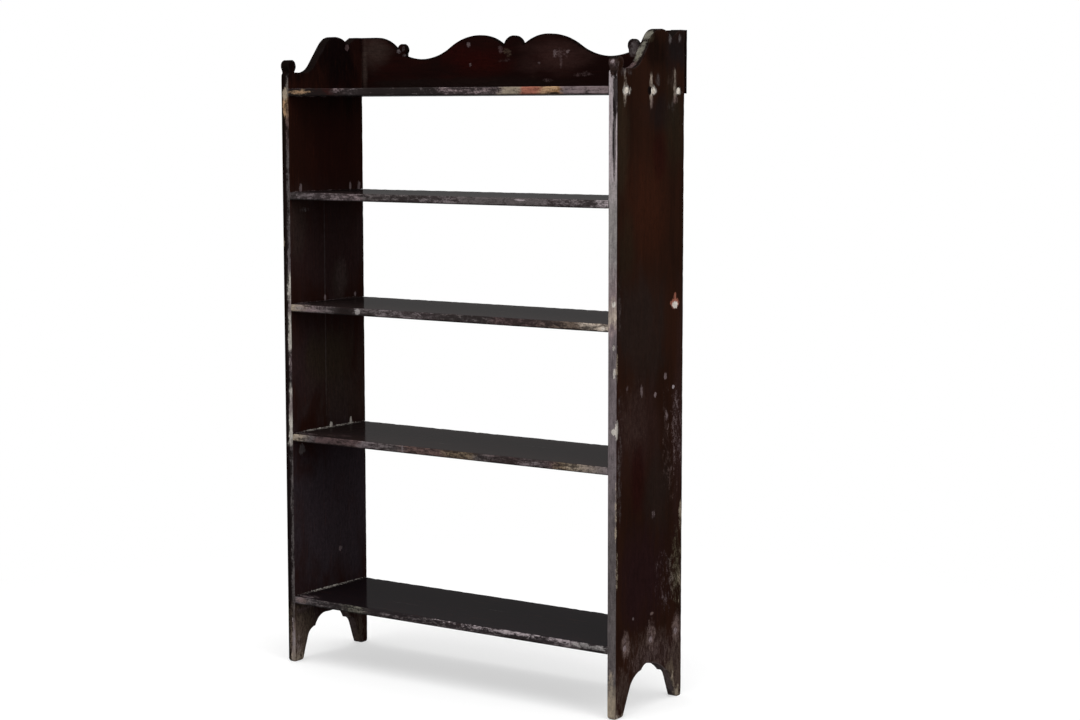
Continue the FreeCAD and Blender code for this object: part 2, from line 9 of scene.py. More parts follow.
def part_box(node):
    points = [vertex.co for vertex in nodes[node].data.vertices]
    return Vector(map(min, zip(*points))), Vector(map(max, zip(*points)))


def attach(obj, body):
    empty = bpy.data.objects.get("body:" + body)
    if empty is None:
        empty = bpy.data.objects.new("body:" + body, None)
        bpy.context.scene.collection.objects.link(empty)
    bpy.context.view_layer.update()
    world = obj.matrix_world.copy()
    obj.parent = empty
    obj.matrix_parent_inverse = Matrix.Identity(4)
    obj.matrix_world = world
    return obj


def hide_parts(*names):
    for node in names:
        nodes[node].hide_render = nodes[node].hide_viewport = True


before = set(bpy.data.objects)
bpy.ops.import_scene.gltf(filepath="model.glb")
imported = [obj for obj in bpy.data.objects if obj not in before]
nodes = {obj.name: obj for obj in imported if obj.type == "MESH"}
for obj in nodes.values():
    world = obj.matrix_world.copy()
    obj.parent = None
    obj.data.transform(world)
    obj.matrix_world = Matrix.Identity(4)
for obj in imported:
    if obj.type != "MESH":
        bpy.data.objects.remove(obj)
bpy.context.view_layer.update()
print("frame loaded:", len(nodes), "nodes")

scene = bpy.context.scene
scene.view_settings.view_transform = "Standard"

# Tones, as linear colours
tones = {
    "blackPaint": (0.0060, 0.0036, 0.0032),
    "sawnBlack": (0.0040, 0.0026, 0.0022),
    "coolBlack": (0.0160, 0.0130, 0.0140),
    "deepBrown": (0.0200, 0.0080, 0.0050),
    "redBrown": (0.0620, 0.0185, 0.0095),
    "maroon": (0.0300, 0.0068, 0.0056),
    "crestRed": (0.0125, 0.0020, 0.0016),
    "oliveBrown": (0.0340, 0.0240, 0.0140),
    "greyBrown": (0.0340, 0.0225, 0.0190),
    "duskGrey": (0.0285, 0.0205, 0.0245),
    "mauveDusk": (0.0480, 0.0230, 0.0200),
    "purpleDusk": (0.0300, 0.0120, 0.0130),
    "umber": (0.0950, 0.0700, 0.0500),
    "mauveBrown": (0.0850, 0.0560, 0.0560),
    "roseBrown": (0.1080, 0.0680, 0.0620),
    "ochreDust": (0.1700, 0.1250, 0.0840),
    "greyScuff": (0.1050, 0.0900, 0.0900),
    "greyMauve": (0.1500, 0.1250, 0.1300),
    "oliveGrey": (0.1350, 0.1180, 0.0780),
    "mauve": (0.2100, 0.1600, 0.1650),
    "roseGrey": (0.1550, 0.1080, 0.0980),
    "beige": (0.3000, 0.2450, 0.1850),
    "paleGrey": (0.2800, 0.2600, 0.2550),
    "paleMauve": (0.4200, 0.3600, 0.3750),
    "chalk": (0.5600, 0.5200, 0.4700),
    "cream": (0.8000, 0.7400, 0.6600),
    "tan": (0.4000, 0.2500, 0.1450),
    "ochre": (0.3000, 0.1600, 0.0700),
    "salmon": (0.3400, 0.1250, 0.0850),
    "ironDark": (0.0600, 0.0520, 0.0480),
    "rust": (0.1200, 0.0450, 0.0200),
    "nightRed": (0.0042, 0.0019, 0.0018),
    "greyOlive": (0.0560, 0.0450, 0.0270),
    "dimMauve": (0.0300, 0.0175, 0.0180),
    "footBrown": (0.0640, 0.0440, 0.0370),
    "pinkBeige": (0.4200, 0.3500, 0.2900),
    "edgeMauve": (0.3600, 0.3100, 0.3200),
    "edgeGrey": (0.2400, 0.2200, 0.2150),
    "worn": (0.1250, 0.0930, 0.0740),
    "mossGrey": (0.1150, 0.1080, 0.0880),
}


mixSockets = {"share": 0, "first": 6, "second": 7, "colour": 2}  # of a Mix node that mixes colours
paintNoise = {  # scale, detail, roughness, distortion
    "broad": (3.1, 3.0, 0.55, 0.0),
    "blotch": (16.0, 4.0, 0.6, 0.6),
    "bands": (38.0, 4.0, 0.6, 0.4),
    "fibres": (190.0, 5.0, 0.65, 0.2),
    "hair": (620.0, 3.0, 0.6, 0.0),
    "grit": (420.0, 4.0, 0.6, 0.0),
    "flecks": (165.0, 5.0, 0.72, 0.0),
    "specks": (46.0, 3.0, 0.6, 0.0),
    "across": (260.0, 3.0, 0.6, 0.0),
}


class Line:
    # a value or colour on its way between nodes
    def __init__(self, finish, socket):
        self.finish = finish
        self.socket = socket

    def sums(self, operation, first, second):
        return self.finish.add("ShaderNodeMath", {"operation": operation}, {0: first, 1: second})

    def __add__(self, other):
        return self.sums("ADD", self, other)

    __radd__ = __add__

    def __sub__(self, other):
        return self.sums("SUBTRACT", self, other)

    def __rsub__(self, other):
        return self.sums("SUBTRACT", other, self)

    def __mul__(self, other):
        return self.sums("MULTIPLY", self, other)

    __rmul__ = __mul__

    def __truediv__(self, other):
        return self.sums("DIVIDE", self, other)

    def __pow__(self, other):
        return self.sums("POWER", self, other)


class Finish:
    def __init__(self, label):
        self.material = bpy.data.materials.new(label)
        self.material.use_nodes = True
        self.tree = self.material.node_tree
        self.tree.nodes.clear()

    def link(self, socket, value):
        if isinstance(value, Line):
            self.tree.links.new(value.socket, socket)
        elif isinstance(value, bpy.types.NodeSocket):
            self.tree.links.new(value, socket)
        elif hasattr(value, "__len__") and len(value) == 3 and socket.type == "RGBA":
            socket.default_value = (*value, 1.0)
        else:
            socket.default_value = value

    def add(self, kind, settings=None, inputs=None, output=0):
        node = self.tree.nodes.new(kind)
        for key, value in (settings or {}).items():
            if key == "stops":
                ramp = node.color_ramp.elements
                while len(ramp) > 1:
                    ramp.remove(ramp[-1])
                for i, (place, tone, cover) in enumerate(value):
                    stop = ramp[0] if i == 0 else ramp.new(place)
                    stop.position = place
                    stop.color = (*tone, cover)
            else:
                setattr(node, key, value)
        for key, value in (inputs or {}).items():
            self.link(node.inputs[key], value)
        return Line(self, node.outputs[output])

    def noise(self, place, scale, detail=3.0, rough=0.55, warp=0.0):
        return self.add("ShaderNodeTexNoise", {}, {
            "Vector": place, "Scale": scale, "Detail": detail, "Roughness": rough, "Distortion": warp})

    def smooth(self, value, low, high, start=0.0, end=1.0):
        return self.add("ShaderNodeMapRange", {"interpolation_type": "SMOOTHSTEP"}, {
            0: value, 1: low, 2: high, 3: start, 4: end})

    def mix(self, share, first, second, blend="MIX"):
        return self.add("ShaderNodeMix", {"data_type": "RGBA", "blend_type": blend}, {
            mixSockets["share"]: share, mixSockets["first"]: first, mixSockets["second"]: second},
            mixSockets["colour"])

    def grey(self, value):
        return self.add("ShaderNodeCombineColor", {}, {0: value, 1: value, 2: value})

    def tinted(self, first, second):
        return self.mix(1.0, first, second, "MULTIPLY")

    def apart(self, place, at, size):
        # how far from a spot, in its own sizes
        moved = self.add("ShaderNodeVectorMath", {"operation": "MULTIPLY_ADD"}, {
            0: place, 1: tuple(1 / s for s in size), 2: tuple(-a / s for a, s in zip(at, size))})
        return self.add("ShaderNodeVectorMath", {"operation": "LENGTH"}, {0: moved}, "Value")

    def stretch(self, place, amounts):
        return self.add("ShaderNodeVectorMath", {"operation": "MULTIPLY"}, {0: place, 1: amounts})

    def split(self, place):
        node = self.tree.nodes.new("ShaderNodeSeparateXYZ")
        self.link(node.inputs[0], place)
        return [Line(self, node.outputs[i]) for i in range(3)]

    def attribute(self, label):
        return self.add("ShaderNodeAttribute", {"attribute_name": label}, {}, "Fac")

    def clamp(self, value):
        return self.add("ShaderNodeClamp", {}, {0: value})

    def largest(self, first, second):
        return self.add("ShaderNodeMath", {"operation": "MAXIMUM"}, {0: first, 1: second})

    def surface(self, colour, rough, bump, specular=0.5, coat=0.0, coatRough=0.2, metal=0.0):
        shader = self.tree.nodes.new("ShaderNodeBsdfPrincipled")
        out = self.tree.nodes.new("ShaderNodeOutputMaterial")
        self.link(shader.inputs["Base Color"], colour)
        self.link(shader.inputs["Roughness"], rough)
        self.link(shader.inputs["Metallic"], metal)
        self.link(shader.inputs["Specular IOR Level"], specular)
        self.link(shader.inputs["Coat Weight"], coat)
        self.link(shader.inputs["Coat Roughness"], coatRough)
        if bump is not None:
            self.link(shader.inputs["Normal"], bump)
        self.tree.links.new(shader.outputs[0], out.inputs[0])
        return self.material


# One recipe for all the boards: paint over old red-brown, rubbed through at the rims, with named patches of wear,
# and a few marks of painted highlight, sheen and shade
def boardPaint(label, look):
    m = Finish(label)
    place = m.add("ShaderNodeTexCoord", {}, {}, "Object")
    normal = m.add("ShaderNodeNewGeometry", {}, {}, "Normal")
    faceY, faceZ = m.split(normal)[1:]
    x, y, z = m.split(place)
    long = look["grain"]  # 0 for a board along X, 2 for one along Z
    along = z if long == 2 else x

    def drawn(share):
        # the place, drawn out along the grain
        return m.stretch(place, tuple(share if i == long else 1.0 for i in range(3)))

    grained, fleckSpace = drawn(0.055), drawn(0.45)
    spaces = {"broad": place, "blotch": drawn(0.4), "bands": grained, "fibres": grained, "hair": grained,
              "grit": place, "flecks": fleckSpace, "specks": fleckSpace}
    broad, blotch, bands, fibres, hair, grit, flecks, specks = [
        m.noise(space, *paintNoise[kind]) for kind, space in spaces.items()]
    broken = specks * 0.30 + flecks * 0.45 + grit * 0.25
    speckle = m.add("ShaderNodeMapRange", {}, {
        0: flecks * 0.4 + hair * 0.3 + grit * 0.3, 1: 0.36, 2: 0.64, 3: 0.50, 4: 1.45})
    mottle = m.grey(speckle)

    # the sound paint: near black, thin enough in streaks and blotches to show red-brown, with clouds of other tones
    figure = bands * 0.34 + fibres * 0.26 + blotch * 0.40 + (broad - 0.5) * look["cloud"]
    thin = m.smooth(figure, look["thinFrom"], look["thinTo"])
    colour = m.mix(thin, look["paint"], look["under"])
    for tone, at, size, strength in look["clouds"]:
        far = m.apart(place, at, size)
        here = m.smooth(far + (blotch - 0.5) * 1.6, 1.1, 0.25) * strength
        colour = m.mix(here, colour, m.tinted(tones[tone], mottle))
    colour = m.mix(m.smooth(hair * fibres, 0.30, 0.44) * 0.3, colour, look["fibre"])
    if look["level"] != 1:
        colour = m.tinted(colour, (look["level"],) * 3)

    # rims rubbed through, first to grey dust, then to wood
    rim = m.attribute("rim")
    joint = m.attribute("joint")
    wander = rim + (specks - 0.5) * look["rimWander"] + (flecks - 0.5) * 0.010
    fade = 1.0
    if look["rimFade"]:  # rims worn more towards one end
        fade = m.smooth(along, *look["rimFade"])
    dusty = m.smooth(wander, look["rimReach"], look["rimReach"] * 0.25) * look["rimDust"] * fade
    rubbed = m.smooth(wander, look["rimReach"] * 0.35, -0.0010) * look["rimBare"] * fade
    colour = m.mix(dusty, colour, m.tinted(look["dust"], mottle))
    colour = m.mix(rubbed, colour, m.tinted(look["bare"], mottle))
    seam = m.smooth(joint + (flecks - 0.5) * 0.0060 + (specks - 0.5) * 0.004, 0.0024, 0.0004) * look["seam"]
    colour = m.mix(seam, colour, m.tinted(look["bare"], mottle))
    # sawn faces that look up, near the top of the boards, are made darkest
    if look["sawn"]:
        upward = m.smooth(faceZ, 0.25, 0.7) * m.smooth(z, 1.30, 1.35) * look["sawn"]
        colour = m.mix(upward, colour, tones["sawnBlack"])

    # the front edge: a haze and flecks over it, with a tone and a cover that change along the board
    low, high = look["edgeRange"]
    reach = high - low
    stops = [((at - low) / reach, tones[tone], cover) for at, tone, cover in look["edge"]]
    ramp = m.add("ShaderNodeValToRGB", {"stops": stops}, {
        0: (along - low) / reach + (specks - 0.5) * 0.07 + (flecks - 0.5) * 0.03})
    cover = Line(m, ramp.socket.node.outputs["Alpha"])
    front = m.smooth(faceY, -0.25, -0.75) * m.smooth(y, -0.1290, -0.1335)
    across = m.noise(drawn(0.10), *paintNoise["across"])
    if look["edgeSide"]:  # wear thins out towards one side
        cover = cover * m.smooth(x + (specks - 0.5) * 0.008, *look["edgeSide"])
    bar = 0.5 + (0.5 - cover) * 0.42
    edgeWearAndShade = m.smooth(broken * 0.8 + across * 0.2 - bar, -0.050, 0.050) * front
    tint = m.tinted(ramp, m.grey(speckle * (across + 0.5) * look["edgeLevel"]))
    if look["frontPaint"]:
        colour = m.mix(front * look["frontPaint"], colour, tones["sawnBlack"])
    colour = m.mix(m.smooth(cover, 0.0, 0.9) * look["haze"] * front, colour, tint)
    colour = m.mix(edgeWearAndShade, colour, tint)
    if look["lowRim"]:  # dark paint and painted shade along the lower front rim, which turns down away from the light
        lowPaintAndShade = m.smooth(z + (specks - 0.5) * 0.004, look["lowRim"] + 0.0042, look["lowRim"] + 0.0012)
        colour = m.mix(lowPaintAndShade * front * 0.8, colour, tones["sawnBlack"])
    # patches of wear, and a painted highlight, broken up by flecks: a soft one blurs from bare to sound over a
    # wider band
    for tone, at, size, strength, cover, *soft in look["patches"]:
        spread = soft[0] if soft else 1.0
        far = m.apart(place, at, size)
        bar = far ** 2.5 * 0.20 + (0.5 + (0.5 - cover) * 0.40)
        inside = m.smooth(broken - bar, -0.045 * spread, 0.060 * spread, end=strength)
        colour = m.mix(inside, colour, m.tinted(tones[tone], mottle))

    worn = m.smooth(colour, 0.035, 0.120)  # the paint is dark and what shows through is light
    rough = m.clamp(look["rough"] + (grit - 0.5) * 0.12 + (bands - 0.5) * 0.10 + worn * look["wornRough"])
    height = fibres * look["grainDepth"] + hair * look["grainDepth"] * 0.4 + grit * 0.05 - rubbed * 0.4
    bump = m.add("ShaderNodeBump", {}, {"Strength": look["bump"], "Distance": 0.0006, "Height": height}, "Normal")
    shine = look["coat"] * (1.0 - m.clamp(worn))
    return m.surface(colour, rough, bump, specular=look["specular"], coat=shine, coatRough=look["coatRough"])


def onFace(axis, level, deep, rows):
    # patches of wear on one face: where they lie on it, how far they reach, then strength, cover and softness
    patches = []
    for tone, firstAt, secondAt, firstSize, secondSize, *rest in rows:
        at, size = [firstAt, secondAt], [firstSize, secondSize]
        at.insert(axis, level)
        size.insert(axis, deep)
        patches.append((tone, tuple(at), tuple(size), *rest))
    return patches


def boardLook(**changes):
    look = {
        "grain": 0, "cloud": 0.5, "thinFrom": 0.44, "thinTo": 0.68,
        "paint": tones["blackPaint"], "under": tones["deepBrown"], "fibre": tones["redBrown"],
        "rimReach": 0.0042, "rimWander": 0.009, "rimDust": 0.6, "rimBare": 0.6,
        "dust": tones["greyScuff"], "bare": tones["mauve"], "seam": 0.7, "sawn": 0.0, "lowRim": 0.0,
        "rimFade": None,  # along the board: from, to, share left there, full share
        "clouds": [],  # slow changes of the sound paint, and a painted sheen and reflection: tone, where, size, strength
        "patches": [],  # wear, and a painted highlight: tone, where, size, strength, cover and perhaps softness
        "edge": [(0.0, "greyScuff", 0.3)],  # the front edge: where along the board, tone, cover
        "edgeRange": (-0.46, 0.46), "edgeSide": None, "haze": 0.25, "frontPaint": 0.0, "level": 1, "edgeLevel": 1.0,
        "rough": 0.6, "wornRough": 0.2, "grainDepth": 0.5, "bump": 0.5, "specular": 0.0,
        "coat": 0.008, "coatRough": 0.35,
    }
    look.update(changes)
    return look


def only(piece):
    bpy.ops.object.select_all(action="DESELECT")
    piece.select_set(True)
    bpy.context.view_layer.objects.active = piece


def editMesh(piece):
    only(piece)
    bpy.ops.object.mode_set(mode="EDIT")
    bpy.ops.mesh.select_mode(type="VERT")


def steps(low, high, gap):
    count = max(1, round((high - low) / gap))
    return middleFirst([low + (high - low) * (i + 0.5) / count for i in range(count)])


def middleFirst(places):
    # the middle cut comes first, so that the big faces get small early
    if len(places) < 3:
        return places
    half = len(places) // 2
    return [places[half]] + middleFirst(places[:half]) + middleFirst(places[half + 1:])


def cutAcross(axis, places):
    way = [0.0, 0.0, 0.0]
    way[axis] = 1.0
    for at in places:
        point = [0.0, 0.0, 0.0]
        point[axis] = at
        bpy.ops.mesh.select_all(action="SELECT")
        bpy.ops.mesh.bisect(plane_co=point, plane_no=way, threshold=shaping["cutMerge"])


def sampled(start, end, gap):
    count = max(1, math.ceil((end - start).length / gap))
    return [start.lerp(end, i / count) for i in range(count + 1)]


shaping = {  # metres and degrees
    "merge": 0.00002, "cutMerge": 0.00005, "flatAngle": 0.35, "rimAngle": 28, "smoothAngle": 32,
    "sampleGap": 0.004, "easeProfile": 0.55, "farthest": 0.05,
    "nickReach": 0.004, "coarseNicks": 75.0, "fineNicks": 240.0, "nickOffset": (3.1, 0.4, 7.7),
}


# A worn copy of a board: rims eased, rungs cut so that dents and wear can follow the rims
def wornBoard(node, label, make):
    piece = bpy.data.objects.new(label, nodes[node].data.copy())
    scene.collection.objects.link(piece)
    piece.data.materials.clear()
    editMesh(piece)
    bpy.ops.mesh.select_all(action="SELECT")
    bpy.ops.mesh.remove_doubles(threshold=shaping["merge"])
    bpy.ops.mesh.dissolve_limited(angle_limit=math.radians(shaping["flatAngle"]))
    mesh = bmesh.from_edit_mesh(piece.data)
    bpy.ops.mesh.select_all(action="DESELECT")
    rims, joints = [], []
    hidden = make["hidden"]
    sharp = math.radians(shaping["rimAngle"])
    for edge in mesh.edges:
        if not edge.is_manifold or not edge.is_convex or edge.calc_face_angle(0) < sharp:
            continue
        start, end = edge.verts[0].co.copy(), edge.verts[1].co.copy()
        middle = (start + end) / 2
        kind = hidden(middle)
        if kind == "inside":
            continue
        (joints if kind == "joint" else rims).extend(sampled(start, end, shaping["sampleGap"]))
        edge.select_set(True)
    bmesh.update_edit_mesh(piece.data)
    bpy.ops.mesh.select_mode(type="EDGE")
    bpy.ops.mesh.bevel(offset=make["ease"], segments=2, profile=shaping["easeProfile"], affect="EDGES",
                       clamp_overlap=True)
    bpy.ops.mesh.select_mode(type="VERT")
    low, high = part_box(node)
    for axis, gap in enumerate(make["rungs"]):
        if gap:
            cutAcross(axis, steps(low[axis], high[axis], gap))
    bpy.ops.mesh.select_all(action="SELECT")
    bpy.ops.mesh.normals_make_consistent(inside=False)
    bpy.ops.object.mode_set(mode="OBJECT")
    measureWear(piece, rims, joints)
    dent(piece, make)
    only(piece)
    bpy.ops.object.shade_smooth_by_angle(angle=math.radians(shaping["smoothAngle"]))
    piece.data.materials.append(make["finish"])
    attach(piece, "root")
    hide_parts(node)
    print(label, "is ready:", len(piece.data.polygons), "faces")
    return piece


# How far each point is from the nearest rim and the nearest joint
def measureWear(piece, rims, joints):
    farthest = shaping["farthest"]
    for label, samples in (("rim", rims), ("joint", joints)):
        tree = kdtree.KDTree(len(samples))
        for i, spot in enumerate(samples):
            tree.insert(spot, i)
        tree.balance()
        far = [min(tree.find(v.co)[2], farthest) if samples else farthest for v in piece.data.vertices]
        piece.data.attributes.new(label, "FLOAT", "POINT").data.foreach_set("value", far)


# Nicks along the rims, and the named dents
def dent(piece, make):
    count = len(piece.data.vertices)
    rim, spots, normals = np.zeros(count), np.zeros(count * 3), np.zeros(count * 3)
    piece.data.attributes["rim"].data.foreach_get("value", rim)
    piece.data.vertices.foreach_get("co", spots)
    piece.data.vertices.foreach_get("normal", normals)
    spots, normals = spots.reshape(-1, 3), normals.reshape(-1, 3)
    depth = np.zeros(count)
    reach, offset = shaping["nickReach"], Vector(shaping["nickOffset"])
    for i in np.nonzero((rim < reach) & (spots[:, 2] > reach))[0]:
        spot = Vector(spots[i])
        depth[i] += make["nicks"] * max(0.0, noise.noise(spot * shaping["coarseNicks"] + offset) - 0.05)
        depth[i] += make["nicks"] * 0.5 * max(0.0, noise.noise(spot * shaping["fineNicks"]))
    for at, size, deep in make["dents"]:
        apart = np.linalg.norm((spots - np.array(at)) / np.array(size), axis=1)
        depth += deep * np.clip(1 - apart * apart, 0, None)
    spots = spots - normals * depth[:, None]
    piece.data.vertices.foreach_set("co", spots.ravel())
    piece.data.update()


shelfRows = {"bottom": (0.140, 0.157), "lower": (0.523, 0.540), "middle": (0.824, 0.841),
             "upper": (1.081, 1.098), "top": (1.316, 1.333)}
plugRows = [(y, z) for z in (0.1485, 1.3245) for y in (-0.101, 0.001, 0.103)]
endBoard = {"inner": 0.436, "dadoFloor": 0.429, "frontEdge": -0.136, "slack": 0.0005, "boreReach": 0.009}


# Which edges of an end board are rims, which border a joint, and which lie inside one
def panelEdge(side):
    inner, floor, slack = endBoard["inner"], endBoard["dadoFloor"], endBoard["slack"]

    def hidden(spot):
        out = side * spot.x
        if floor - slack < out < inner + slack:
            for base, top in shelfRows.values():
                if base - 0.001 < spot.z < top + 0.001 and spot.y > endBoard["frontEdge"]:
                    return "joint"
        if floor + slack < out < inner - slack:
            return "inside"
        for y, z in plugRows:
            if math.hypot(spot.y - y, spot.z - z) < endBoard["boreReach"] and abs(spot.x) > 0.43:
                return "inside"
        return "rim"
    return hidden


def shelfEdge(spot):
    return "inside" if abs(spot.x) > endBoard["inner"] + 0.0015 else "rim"


def crestEdge(spot):
    return "rim"
